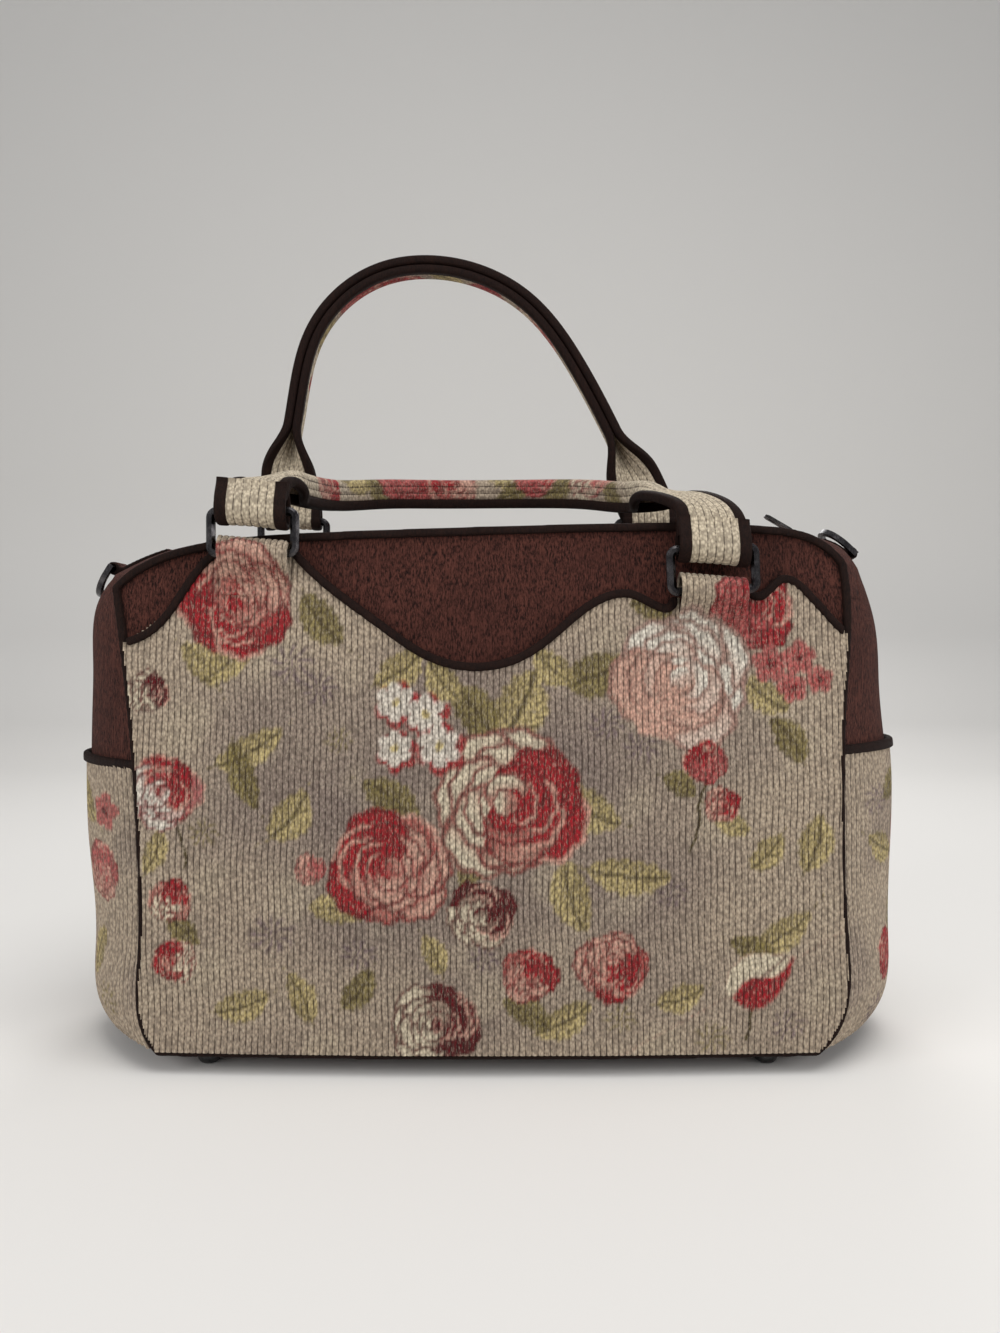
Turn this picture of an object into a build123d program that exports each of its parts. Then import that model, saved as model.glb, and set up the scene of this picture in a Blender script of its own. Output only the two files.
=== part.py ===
from build123d import *
import math
import os

os.makedirs("parts", exist_ok=True)

# A zip-closed fabric bag with floral knit pockets, two strap handles on metal rings and four feet.
# Millimetres. X runs along the bag, Y from the front wall to the back wall, Z up.
# The origin is on the table, under the middle of the bag.

# Driving dimensions of the bag body
half_width = 226.5          # middle of the bag to the widest line of a gusset
top_height = 274.0          # straight middle stretch of the zip
base_drop = 6.0             # underside of the base at mid depth
seam_height = 11.0          # seam of the front wall and the base
half_depth = 84.0           # middle of the bag to the most forward point of the front wall
seam_depth_low = 79.0       # half depth at the lower seam
seam_depth_high = 62.0      # half depth at the upper seam
cloth = 2.5                 # thickness of the quilted tweed walls
knit = 3.2                  # thickness of the knit pockets, over their ribs
rib_pitch = 4.2             # from one upright rib of the knit to the next
rib_depth = 0.9             # depth of the grooves between the ribs
piping = 4.4                # width of the piping and of the bound edges
face_bow_across = 3000.0    # radius of the front wall across the bag
face_bow_up = 1300.0        # radius of the front wall up the bag
face_bow_height = 54.0      # height at which the front wall stands furthest out

# Side pockets
pocket_rim_left = 154.0     # height of the bound rim, middle of the binding
pocket_rim_right = 162.0
pocket_hem = 13.0           # lower edge of a side pocket
rim_band = 5.6              # height of a pocket's bound rim

# Zip
zip_left = -146.0           # ends of the straight stretch of the zip
zip_right = 188.0
zip_gap = 14.0              # width between the two top strips
tape_thickness = 0.8
tape_gap = 0.9              # from the underside of the top strips to the tape
tape_width = 13.0
tooth_pitch = 4.0
tooth_length = 2.2          # size of one tooth along the zip
tooth_reach = 2.6           # size of one tooth across the zip
tooth_height = 2.0
chain_slit = 1.4            # free width between the two rows, for the slider's post
slider_length = 12.0
slider_width = 10.0
slider_plate = 1.2
slider_clearance = 0.4
slider_place = 180.0        # rest place of the slider's middle
pull_length = 24.0
pull_width = 7.0
pull_thickness = 1.5
pull_rise = 30.0            # angle of the pull above the zip, in degrees
pull_pin = 0.9              # radius of the pull's pin
pin_fit = 0.06              # running clearance of the pin in the pull's eye

# End tabs and D-rings
tab_width = 22.0
tab_ply = 1.6
tab_bound = 2.4             # width of a tab's bound side edge
loop_bore = 2.2             # inside radius of the loop that holds a D-ring
ring_wire = 3.0             # wire of a D-ring
d_inner_width = 25.0
d_depth = 18.0              # pin line to the middle of the bow
d_left = (-213.5, 259.5)    # X and Z of the left loop
d_right = (206.0, 268.0)
d_left_hang = 238.0         # rest direction of a D-ring, in degrees from +X towards +Z
d_right_hang = 136.0
tail_left = (-212, -182)    # stretch of each tab that is sewn to the shoulder
tail_right = (190, 205)

# Handle rings, straps and the loops round the rings
ring_inner = 38.0           # inside width of a handle ring
ring_bar = 4.4              # thickness of its bars
ring_rise = 21.0            # lower bar to upper bar, centre to centre
ring_corner = 5.5
channel_front = 5.4         # inside radius of the cloth loops round the front bars, wide for the slumped ring
channel_back = 2.8          # the same at the level back rings
loop_ply = 2.5
loop_width = 33.0
strap_width = 36.0          # the strap opened flat
strap_ply = 4.4
fold_length = 8.6           # length of the bend when the strap is folded in half
bound_width = 6.2           # width of a bound edge on the strap
bound_ply = 5.0

# Feet and base board
foot_radius = 6.0
foot_place_x = 144.0
foot_place_y = 64.0
board_thickness = 2.0
board_clearance = 0.3


# Outlines as the four edges of a closed loop in X and Z: base, right side, top, left side
SEAM_OUTLINE = [
    [(-166, seam_height), (166, seam_height)],
    [(166, seam_height), (176, 24), (179, 75), (178, 130), (179.5, 180), (184, 228), (183, 257)],
    [(183, 257), (170, 269), (141, 275), (60, 275.8), (-4, 274), (-92, 271), (-144, 266.4), (-175, 257), (-191, 245)],
    [(-191, 245), (-186, 218), (-179.5, 175), (-174.5, 120), (-173.5, 60), (-172, 22), (-166, seam_height)],
]
MIDDLE_OUTLINE = [
    [(-206, base_drop), (206, base_drop)],
    [(206, base_drop), (220, 20), (224, 60), (226, 100), (half_width, 155), (222, 195), (218, 230), (208, 258)],
    [(208, 258), (200, 269), *[(x, top_height) for x in (zip_right, 160, 100, 40, -20, -80, -125, zip_left)],
     (-178, 269), (-208, 257)],
    [(-208, 257), (-220, 243), (-225, 205), (-half_width, 155), (-225, 105), (-221, 50), (-217, 18),
     (-206, base_drop)],
]


def grown(outline, grow):
    """The outline with every point moved outward by grow, square to its neighbours."""
    loop = [point for edge in outline for point in edge[:-1]]
    count = len(loop)
    moved = []
    for index, point in enumerate(loop):
        before = loop[index - 1]
        after = loop[(index + 1) % count]
        along = Vector(after[0] - before[0], after[1] - before[1]).normalized()
        moved.append((point[0] + grow * along.Y, point[1] - grow * along.X))
    edges = []
    start = 0
    for edge in outline:
        steps = len(edge) - 1
        edges.append([moved[(start + step) % count] for step in range(steps + 1)])
        start += steps
    return edges


def outline_face(outline, plane):
    """A face on the plane, bounded by the outline's splines and straight edges."""
    with BuildSketch(plane) as sketch:
        with BuildLine():
            for edge in outline:
                if len(edge) == 2:
                    Line(*edge)
                else:
                    Spline(*edge)
        make_face()
    return sketch.sketch.face()


lean = math.atan2(seam_depth_low - seam_depth_high, top_height - seam_height)


def seam_plane(side):
    """The plane of the front seam (side -1) or of the back seam (side 1), leaning inward as it rises."""
    middle = side * (seam_depth_low + seam_height * math.tan(lean))
    normal = (0, -math.cos(lean), side * -math.sin(lean))
    return Plane(origin=(0, middle, 0), x_dir=(1, 0, 0), z_dir=normal)


def face_depth(x, z, grow=0.0):
    """Half depth of the bowed front wall at x and z."""
    reach = face_bow_across - math.sqrt(face_bow_across**2 - x**2)
    radius = face_bow_up + grow - reach
    return half_depth - face_bow_up + math.sqrt(radius**2 - (z - face_bow_height) ** 2)


def bowed_block(side, grow):
    """Everything behind the bowed outer face of one wall, as a revolved block."""
    centre = side * (half_depth - face_bow_up)
    front = face_bow_up + grow
    half = 260
    edge = front - (face_bow_across - math.sqrt(face_bow_across**2 - half**2))
    far = front - half_depth - 160
    start = 14
    tilt = math.radians(start)
    plane = Plane(
        origin=(0, centre, face_bow_height),
        x_dir=(1, 0, 0),
        z_dir=(0, side * -math.sin(tilt), math.cos(tilt)),
    )
    with BuildPart() as block:
        with BuildSketch(plane):
            with BuildLine():
                ThreePointArc((-half, side * edge), (0, side * front), (half, side * edge))
                Polyline((half, side * edge), (half, side * far), (-half, side * far), (-half, side * edge))
            make_face()
        revolve(axis=Axis((0, centre, face_bow_height), (-side, 0, 0)), revolution_arc=start + 5)
    return block.part


def ribbed_block(side):
    """Everything behind the ribbed face of a knit pocket: the bowed face with upright ridges."""
    centre = side * (half_depth - face_bow_up)
    front = face_bow_up + knit
    ribs = 60
    far = front - half_depth - 160
    start = 14
    tilt = math.radians(start)
    plane = Plane(
        origin=(0, centre, face_bow_height),
        x_dir=(1, 0, 0),
        z_dir=(0, side * -math.sin(tilt), math.cos(tilt)),
    )
    points = []
    for index in range(-2 * ribs, 2 * ribs + 1):
        x = index * rib_pitch / 2
        groove = 0 if index % 2 else rib_depth
        points.append((x, side * (front - (face_bow_across - math.sqrt(face_bow_across**2 - x**2)) - groove)))
    half = ribs * rib_pitch
    with BuildPart() as ribbed:
        with BuildSketch(plane):
            with BuildLine():
                Polyline(*points, (half, side * far), (-half, side * far), close=True)
            make_face()
        revolve(axis=Axis((0, centre, face_bow_height), (-side, 0, 0)), revolution_arc=start + 5)
    return ribbed.part


def bag_solid(grow):
    """The bag's full outer form, grown by an even amount: gussets bowed out, walls bowed forward."""
    seam = grown(SEAM_OUTLINE, grow)
    middle = grown(MIDDLE_OUTLINE, grow)
    front_face = outline_face(seam, seam_plane(-1))
    middle_face = outline_face(middle, Plane.XZ)
    back_face = outline_face(seam, seam_plane(1))
    with BuildPart() as bag:
        loft(sections=[front_face, middle_face, back_face])
        extrude(front_face, amount=16, dir=(0, -1, 0))
        extrude(back_face, amount=16, dir=(0, 1, 0))
        add(bowed_block(-1, grow), mode=Mode.INTERSECT)
        add(bowed_block(1, grow), mode=Mode.INTERSECT)
    return bag.part


def prism(face, side):
    """A face of the XZ plane carried through one half of the bag, front (-1) or back (1)."""
    return extrude(face, amount=130, dir=(0, side, 0), mode=Mode.PRIVATE)


def block(x_range, y_range, z_range):
    """A box between pairs of limits."""
    size = [limits[1] - limits[0] for limits in (x_range, y_range, z_range)]
    centre = [(limits[1] + limits[0]) / 2 for limits in (x_range, y_range, z_range)]
    return Pos(*centre) * Box(*size, mode=Mode.PRIVATE)


def save(part, name):
    part.label = name
    export_step(part, f"parts/{name}.step")


outer = bag_solid(0)
inner = bag_solid(-cloth)
everywhere = (-300, 300)

# Piping: a square cord laid in each seam, where a wall meets the gussets
seam_band = outline_face(grown(SEAM_OUTLINE, piping / 2), Plane.XZ)
seam_core = outline_face(grown(SEAM_OUTLINE, -piping / 2), Plane.XZ)
pipings = {}
for name, side in (("front_piping", -1), ("back_piping", 1)):
    with BuildPart() as cord:
        add(prism(seam_band, side))
        add(prism(seam_core, side), mode=Mode.SUBTRACT)
        add(bowed_block(side, piping / 2), mode=Mode.INTERSECT)
        add(bowed_block(side, -piping / 2), mode=Mode.SUBTRACT)
    pipings[side] = cord.part
    save(cord.part, name)

# Front and back walls: bowed panels inside their piping
for name, side in (("front_wall", -1), ("back_wall", 1)):
    with BuildPart() as wall:
        add(prism(seam_core, side))
        add(bowed_block(side, 0), mode=Mode.INTERSECT)
        add(bowed_block(side, -cloth), mode=Mode.SUBTRACT)
    save(wall.part, name)

# The gusset band between the two walls, before it is cut into its panels
with BuildPart() as gusset_band:
    add(outer)
    add(inner, mode=Mode.SUBTRACT)
    add(bowed_block(-1, -cloth), mode=Mode.INTERSECT)
    add(bowed_block(1, -cloth), mode=Mode.INTERSECT)
    add(pipings[-1], mode=Mode.SUBTRACT)
    add(pipings[1], mode=Mode.SUBTRACT)

base_edge = 158.0           # where the base panel meets the gussets
shoulder = 240.0            # height above which the band is cut into top strips
strip_end_left = zip_left - 8
strip_end_right = zip_right + 8
with BuildPart() as base_panel:
    add(gusset_band.part)
    add(block((-base_edge, base_edge), everywhere, (0, 60)), mode=Mode.INTERSECT)
save(base_panel.part, "base_panel")

for name, way, strip_end in (("left_gusset", -1, strip_end_left), ("right_gusset", 1, strip_end_right)):
    with BuildPart() as gusset:
        add(gusset_band.part)
        with BuildSketch(Plane.XZ):
            with BuildLine():
                Polyline(
                    (way * base_edge, 0), (way * base_edge, shoulder), (strip_end, shoulder), (strip_end, 320),
                    (way * 300, 320), (way * 300, 0), close=True,
                )
            make_face()
        extrude(amount=200, both=True, mode=Mode.INTERSECT)
    save(gusset.part, name)

for name, y_range in (("front_top_strip", (-100, -zip_gap / 2)), ("back_top_strip", (zip_gap / 2, 100))):
    with BuildPart() as strip:
        add(gusset_band.part)
        add(block((strip_end_left, strip_end_right), y_range, (shoulder, 320)), mode=Mode.INTERSECT)
    save(strip.part, name)

# Base board: a flat stiffener that lies on the base panel's inner face
board_half_depth = 56.0
board_level = base_drop + cloth + (seam_height - base_drop) * (board_half_depth / seam_depth_low) ** 2
with BuildPart() as base_board:
    with BuildSketch(Plane.XY.offset(board_level + board_clearance)):
        RectangleRounded(2 * base_edge - 12, 2 * board_half_depth, 12)
    extrude(amount=board_thickness)
save(base_board.part, "base_board")

# Feet: domes on the base, cut to its form
for side, y_name in ((-1, "front"), (1, "back")):
    for way, x_name in ((-1, "left"), (1, "right")):
        with BuildPart() as foot:
            with BuildSketch(Plane.XY):
                with Locations((way * foot_place_x, side * foot_place_y)):
                    Circle(foot_radius)
            extrude(amount=base_drop + 8)
            fillet(foot.edges().sort_by(Axis.Z)[0], foot_radius * 0.6)
            add(outer, mode=Mode.SUBTRACT)
            add(block(everywhere, everywhere, (base_drop + 4.5, 60)), mode=Mode.SUBTRACT)
        save(foot.part, f"foot_{y_name}_{x_name}")

# Knit pockets on the front and back walls. The upper edge runs from each seam up to a tab and dips
# between the tabs. Each tab is folded round the lower bar of a handle ring.
bar_gap = 1.0               # free space between a ring's bar and the bound edge behind it
neck_back = 3.8             # from the middle of a ring's bar to the back of its tab's neck


class RingPlace:
    """Where one handle ring hangs: the middle of its lower bar, and the lean of its bars."""

    def __init__(self, x, z, side, channel, tilt=0.0):
        self.x = x
        self.z = z
        self.side = side
        self.channel = channel
        self.tilt = tilt
        self.y = side * (face_depth(x, z) + piping + bar_gap + ring_bar / 2)

    def lower(self):
        return Vector(self.x, self.y, self.z)


front_left = RingPlace(-118.5, 262.0, -1, channel_front)
front_right = RingPlace(113.5, 243.0, -1, channel_front, tilt=2.5)
back_left = RingPlace(-127.0, 275.0, 1, channel_back)
back_right = RingPlace(103.5, 275.0, 1, channel_back)
FRONT_LEFT_EDGE = [(-184, 217), (-158, 238), (-146, 256), (-138, 263)]
FRONT_LEFT_DIP = [(-99, 263), (-85, 249), (-53, 225), (-28, 209), (-8, 204.5)]
FRONT_RIGHT_DIP = [(-8, 204.5), (17, 209.5), (43, 229), (58, 239), (72, 241.5), (84, 236), (91, 234), (95, 240)]
FRONT_RIGHT_EDGE = [(132, 244), (138, 240), (150, 249), (165, 240), (182, 222)]
BACK_LEFT_EDGE = [(-184, 217), (-164, 238), (-153, 256), (-147, 268)]
BACK_LEFT_DIP = [(-107, 268), (-92, 251), (-57, 226), (-31, 209), (-10, 204.5)]
BACK_RIGHT_DIP = [(-10, 204.5), (10, 209), (37, 226), (71, 251), (84, 268)]
BACK_RIGHT_EDGE = [(123, 268), (130, 256), (144, 240), (182, 219)]


def under_edge(curves):
    """The face below the pocket's upper edge."""
    with BuildSketch(Plane.XZ) as sketch:
        with BuildLine():
            Spline(*curves[0])
            Line(curves[0][-1], curves[1][0])
            Spline(*curves[1])
            Spline(*curves[2])
            Line(curves[2][-1], curves[3][0])
            Spline(*curves[3])
            Polyline(curves[3][-1], (250, 200), (250, 0), (-250, 0), (-250, 200), curves[0][0])
        make_face()
    return sketch.sketch.face()


def edge_band(curves):
    """Bands of the binding's width along the bound stretches of the upper edge."""
    bands = []
    for points in (curves[0], curves[1] + curves[2][1:], curves[3]):
        with BuildSketch(Plane.XZ) as sketch:
            with BuildLine() as line:
                Spline(*points)
            trace(line.line, line_width=piping)
        bands.append(sketch.sketch.face())
    return bands


def loop_plane(left, right, height):
    """A plane whose X axis runs through both rings of a handle, at the given height above the lower bars."""
    lift = Vector(0, 0, height)
    along = (right.lower() - left.lower()).normalized()
    return Plane(origin=left.lower() + lift, x_dir=(0, 0, 1), z_dir=(along.X, along.Y, along.Z))


def along_line(left, place, right):
    """Distance along the line of the two rings to one of them."""
    return (place.lower() - left.lower()).length


def channel_tube(left, right, place, height, radius, length):
    """A cylinder about the line through both rings, centred on one ring."""
    plane = loop_plane(left, right, height).offset(along_line(left, place, right) - length / 2)
    with BuildPart() as tube:
        with BuildSketch(plane):
            Circle(radius)
        extrude(amount=length)
    return tube.part


def tab_loop(left, right, place):
    """A tab's roll round the lower bar of its ring and its neck down to the knit, clear of the piping."""
    half = loop_width / 2
    near = abs(place.y) - neck_back
    neck = sorted((place.side * near, place.side * (near + knit)))
    with BuildPart() as loop:
        add(channel_tube(left, right, place, 0, place.channel + loop_ply, loop_width))
        add(bowed_block(place.side, piping / 2 + 0.1), mode=Mode.SUBTRACT)
        add(block((place.x - half, place.x + half), neck, (place.z - 16, place.z - 3)))
    return loop.part


ring_pairs = {-1: (front_left, front_right), 1: (back_left, back_right)}
pocket_edges = {
    -1: (FRONT_LEFT_EDGE, FRONT_LEFT_DIP, FRONT_RIGHT_DIP, FRONT_RIGHT_EDGE),
    1: (BACK_LEFT_EDGE, BACK_LEFT_DIP, BACK_RIGHT_DIP, BACK_RIGHT_EDGE),
}
pocket_inset = outline_face(grown(SEAM_OUTLINE, -piping / 2 - 0.05), Plane.XZ)
for side, name in ((-1, "front"), (1, "back")):
    left, right = ring_pairs[side]
    curves = pocket_edges[side]
    with BuildPart() as binding:
        for band in edge_band(curves):
            add(prism(band, side))
        add(prism(pocket_inset, side), mode=Mode.INTERSECT)
        add(bowed_block(side, piping), mode=Mode.INTERSECT)
        add(bowed_block(side, 0), mode=Mode.SUBTRACT)
        for place in (left, right):
            tube = channel_tube(left, right, place, 0, place.channel + loop_ply, loop_width)
            add(tube, mode=Mode.SUBTRACT)
    save(binding.part, f"{name}_pocket_binding")
    with BuildPart() as loops:
        for place in (left, right):
            add(tab_loop(left, right, place))
        add(binding.part, mode=Mode.SUBTRACT)
    with BuildPart() as pocket:
        add(prism(under_edge(curves), side))
        add(prism(pocket_inset, side), mode=Mode.INTERSECT)
        add(bowed_block(side, 0), mode=Mode.SUBTRACT)
        add(binding.part, mode=Mode.SUBTRACT)
        add(ribbed_block(side), mode=Mode.INTERSECT)
        add(loops.part)
        for place in (left, right):
            add(channel_tube(left, right, place, 0, place.channel, loop_width + 10), mode=Mode.SUBTRACT)
    save(pocket.part, f"{name}_pocket")

# Side pockets on the gussets, with bound rims
pocket_form = bag_solid(knit)
rim_form = bag_solid(piping)
front_room = bowed_block(-1, -piping)
back_room = bowed_block(1, -piping)
for name, way, rim in (("left", -1, pocket_rim_left), ("right", 1, pocket_rim_right)):
    reach = tuple(sorted((way * 150, way * 300)))
    for node, form, heights in (
        (f"{name}_side_pocket", pocket_form, (pocket_hem, rim - rim_band / 2)),
        (f"{name}_pocket_binding", rim_form, (rim - rim_band / 2, rim + rim_band / 2)),
    ):
        with BuildPart() as piece:
            add(block(reach, everywhere, heights))
            add(form, mode=Mode.INTERSECT)
            add(outer, mode=Mode.SUBTRACT)
            add(front_room, mode=Mode.INTERSECT)
            add(back_room, mode=Mode.INTERSECT)
            add(pipings[-1], mode=Mode.SUBTRACT)
            add(pipings[1], mode=Mode.SUBTRACT)
        save(piece.part, node)

# Handle rings: rectangular rings with rounded corners and bevelled bars
bar_bevel = 1.3


def handle_ring(place):
    """A ring that stands on its lower bar."""
    tilt = math.radians(place.tilt)
    centre = place.lower() + Vector(0, 0, ring_rise / 2)
    plane = Plane(
        origin=(centre.X, centre.Y, centre.Z),
        x_dir=(math.cos(tilt), 0, math.sin(tilt)),
        z_dir=(0, -1, 0),
    )
    with BuildPart() as ring:
        with BuildSketch(plane):
            RectangleRounded(ring_inner + 2 * ring_bar, ring_rise + ring_bar, ring_corner)
            RectangleRounded(ring_inner, ring_rise - ring_bar, ring_corner - ring_bar, mode=Mode.SUBTRACT)
        extrude(amount=ring_bar / 2, both=True)
        flats = ring.faces().filter_by(lambda face: abs(face.normal_at().Y) > 0.9)
        chamfer(flats.edges(), bar_bevel)
    return ring.part


for place, name in (
    (front_left, "front_ring_left"),
    (front_right, "front_ring_right"),
    (back_left, "back_ring_left"),
    (back_right, "back_ring_right"),
):
    save(handle_ring(place), name)

# Straps: flat where they leave the rings, folded in half over the arch, with both edges bound
half_bend = fold_length / 2
bare_half = strap_width / 2 - bound_width
fold_open = math.radians(3)
fold_shut = math.radians(178)
flat_share = 0.035          # share of the strap's length that stays flat beside a ring
flat_share_low = 0.13       # the same beside the slumped ring
flare = 0.10                # share of the strap's length over which it folds


def folded_point(distance, offset, fold):
    """A point of the folded strap's section, at a distance from its middle and off its mid line."""
    radius = fold_length / fold
    angle = min(abs(distance), half_bend) / radius
    straight = max(abs(distance) - half_bend, 0)
    leg = strap_width / 2 - half_bend
    lift = (radius * (1 - math.cos(fold / 2)) + leg * math.sin(fold / 2)) / 2
    across = radius * math.sin(angle) + straight * math.cos(fold / 2) + offset * math.sin(angle)
    outward = radius * (math.cos(angle) - 1) - straight * math.sin(fold / 2) + offset * math.cos(angle)
    return (math.copysign(across, distance) if distance else 0.0, outward + lift)


def strap_section(plane, fold):
    """The section of the strap between its bound edges."""
    stations = [-bare_half, -half_bend, -half_bend / 2, 0, half_bend / 2, half_bend, bare_half]
    outside = [folded_point(station, strap_ply / 2, fold) for station in stations]
    inside = [folded_point(station, -strap_ply / 2, fold) for station in reversed(stations)]
    with BuildSketch(plane) as sketch:
        with BuildLine():
            Polyline(*outside, *inside, close=True)
        make_face()
    return sketch.sketch.face()


def bound_section(plane, fold, hand):
    """The section of one bound edge, with bevelled corners."""
    edge = strap_width / 2
    half = bound_ply / 2
    bevel = 1.4
    corners = [
        (bare_half + 0.05, half - bevel / 2), (bare_half + bevel, half), (edge - bevel, half), (edge, half - bevel),
        (edge, bevel - half), (edge - bevel, -half), (bare_half + bevel, -half), (bare_half + 0.05, bevel / 2 - half),
    ]
    with BuildSketch(plane) as sketch:
        with BuildLine():
            Polyline(*[folded_point(hand * far, off, fold) for far, off in corners], close=True)
        make_face()
    return sketch.sketch.face()


def strap_planes(path, outward, flat_end):
    """Planes square to the strap's path with their Y axis outward, and how far the strap is folded there."""
    with BuildLine() as line:
        Spline(*path)
    edge = line.line.edges()[0]
    steps = 18
    planes = []
    for step in range(steps + 1):
        share = (1 - math.cos(math.pi * step / steps)) / 2
        point = edge.position_at(share)
        along = edge.tangent_at(share)
        up = (outward - along * outward.dot(along)).normalized()
        across = up.cross(along)
        plane = Plane(origin=(point.X, point.Y, point.Z), x_dir=(across.X, across.Y, across.Z),
                      z_dir=(along.X, along.Y, along.Z))
        from_end = min(share - flat_share, 1 - share - flat_end)
        part_way = min(max(from_end, 0) / flare, 1)
        ease = part_way * part_way * (3 - 2 * part_way)
        planes.append((plane, fold_open + (fold_shut - fold_open) * ease))
    return planes


sleeve_bare = loop_width - 2 * bound_width
sleeve_cover = 0.8           # from a loop's inside radius to the end of the strap
front_lean = math.radians(9)
front_path = [
    (-117, -67, 297), (-111, -48, 301), (-104, -20, 301.5), (-92, 18, 304), (-68, 52, 310), (-35, 72, 313),
    (0, 78, 314), (33, 70, 313), (62, 47, 309), (83, 12, 302), (97, -28, 298), (106.5, -58, 291), (112, -70, 283.5), (113.3, -74.2, 276),
]
back_path = [
    (-130, 69.3, 331), (-125.6, 69.4, 362), (-112, 69.5, 417), (-94, 69.5, 440), (-68, 69.5, 455), (-38, 69.5, 459),
    (-6.6, 69.5, 453), (21, 69.6, 438), (57, 69.8, 393), (89, 70, 331),
]
for side, name, path, outward, flat_end in (
    (-1, "front", front_path, Vector(0, -math.sin(front_lean), math.cos(front_lean)), flat_share_low),
    (1, "back", back_path, Vector(0, 1, 0), flat_share),
):
    left, right = ring_pairs[side]
    sleeve_radius = left.channel + loop_ply
    start_lift = Vector(0, 0, ring_rise + left.channel + sleeve_cover)
    ends = [left.lower() + start_lift, right.lower() + start_lift]
    points = [(ends[0].X, ends[0].Y, ends[0].Z), *path, (ends[1].X, ends[1].Y, ends[1].Z)]
    planes = strap_planes(points, outward, flat_end)
    with BuildPart() as strap:
        loft(sections=[strap_section(plane, fold) for plane, fold in planes], ruled=True)
        for place in (left, right):
            add(channel_tube(left, right, place, ring_rise, sleeve_radius, sleeve_bare))
        for place in (left, right):
            add(channel_tube(left, right, place, ring_rise, place.channel, loop_width + 20), mode=Mode.SUBTRACT)
    save(strap.part, f"{name}_handle")
    with BuildPart() as bound:
        for hand in (-1, 1):
            loft(sections=[bound_section(plane, fold, hand) for plane, fold in planes], ruled=True)
        for place in (left, right):
            add(channel_tube(left, right, place, ring_rise, sleeve_radius + 0.3, loop_width))
        for place in (left, right):
            add(channel_tube(left, right, place, ring_rise, sleeve_radius + 5, sleeve_bare), mode=Mode.SUBTRACT)
            add(channel_tube(left, right, place, ring_rise, place.channel, loop_width + 20), mode=Mode.SUBTRACT)
        add(strap.part, mode=Mode.SUBTRACT)
    save(bound.part, f"{name}_handle_binding")

# Zip: two tapes under the top strips, a row of teeth on each, and stops at both ends
tape_top = top_height - cloth - tape_gap
teeth_top = tape_top + tooth_height
tooth_count = int((zip_right - zip_left - 3 * tooth_pitch) / tooth_pitch)
for side, name in ((-1, "front"), (1, "back")):
    y_range = sorted((side * chain_slit / 2, side * (chain_slit / 2 + tape_width)))
    with BuildPart() as tape:
        add(block((zip_left, zip_right), y_range, (tape_top - tape_thickness, tape_top)))
    save(tape.part, f"zip_tape_{name}")
    with BuildPart() as teeth:
        for index in range(tooth_count):
            start = zip_left + 1.5 * tooth_pitch + index * tooth_pitch + (0 if side < 0 else tooth_pitch / 2)
            with BuildSketch(Plane.XY.offset(tape_top)):
                with Locations((start, side * (chain_slit + tooth_reach) / 2)):
                    Rectangle(tooth_length, tooth_reach)
        extrude(amount=tooth_height)
    save(teeth.part, f"zip_teeth_{name}")

for name, x in (("zip_stop_left", zip_left + 2), ("zip_stop_right", zip_right - 0.6)):
    with BuildPart() as stop:
        with BuildSketch(Plane.XY.offset(tape_top)):
            with Locations((x, 0)):
                RectangleRounded(2.4, 7.0, 0.6)
        extrude(amount=tooth_height)
    save(stop.part, name)

# Slider: two plates joined by a post that runs in the slit, with a bail and pin for the pull
upper_face = teeth_top + slider_clearance
lower_face = tape_top - tape_thickness - slider_clearance
bail_height = 4.4
bail_ply = 1.1
eye_half = 1.5
pin_level = upper_face + slider_plate + bail_height
post_width = 0.8
with BuildPart() as slider:
    with BuildSketch(Plane.XY.offset(upper_face)):
        with Locations((slider_place, 0)):
            RectangleRounded(slider_length, slider_width, 2.4)
    extrude(amount=slider_plate)
    with BuildSketch(Plane.XY.offset(lower_face - slider_plate)):
        with Locations((slider_place, 0)):
            RectangleRounded(slider_length, slider_width, 2.4)
    extrude(amount=slider_plate)
    add(block((slider_place + 2.0, slider_place + 4.6), (-post_width / 2, post_width / 2), (lower_face, upper_face)))
    for hand in (-1, 1):
        cheek = sorted((hand * (eye_half + 0.15), hand * (eye_half + 0.15 + bail_ply)))
        lip = sorted((hand * (slider_width / 2 - 0.9), hand * slider_width / 2))
        add(block((slider_place - 3, slider_place + 3), lip, (tape_top + slider_clearance, upper_face)))
        with BuildSketch(Plane.XZ.offset(-cheek[0])):
            with BuildLine():
                foot = upper_face + slider_plate
                Polyline((slider_place + 2.2, pin_level), (slider_place + 3.6, foot), (slider_place - 3.6, foot),
                         (slider_place - 2.2, pin_level))
                ThreePointArc((slider_place - 2.2, pin_level), (slider_place, pin_level + 2.2),
                              (slider_place + 2.2, pin_level))
            make_face()
        extrude(amount=-bail_ply)
    with BuildSketch(Plane.XZ.offset(eye_half + 0.2)):
        with Locations((slider_place, pin_level)):
            Circle(pull_pin)
    extrude(amount=-2 * (eye_half + 0.2))
save(slider.part, "zip_slider")

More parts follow.
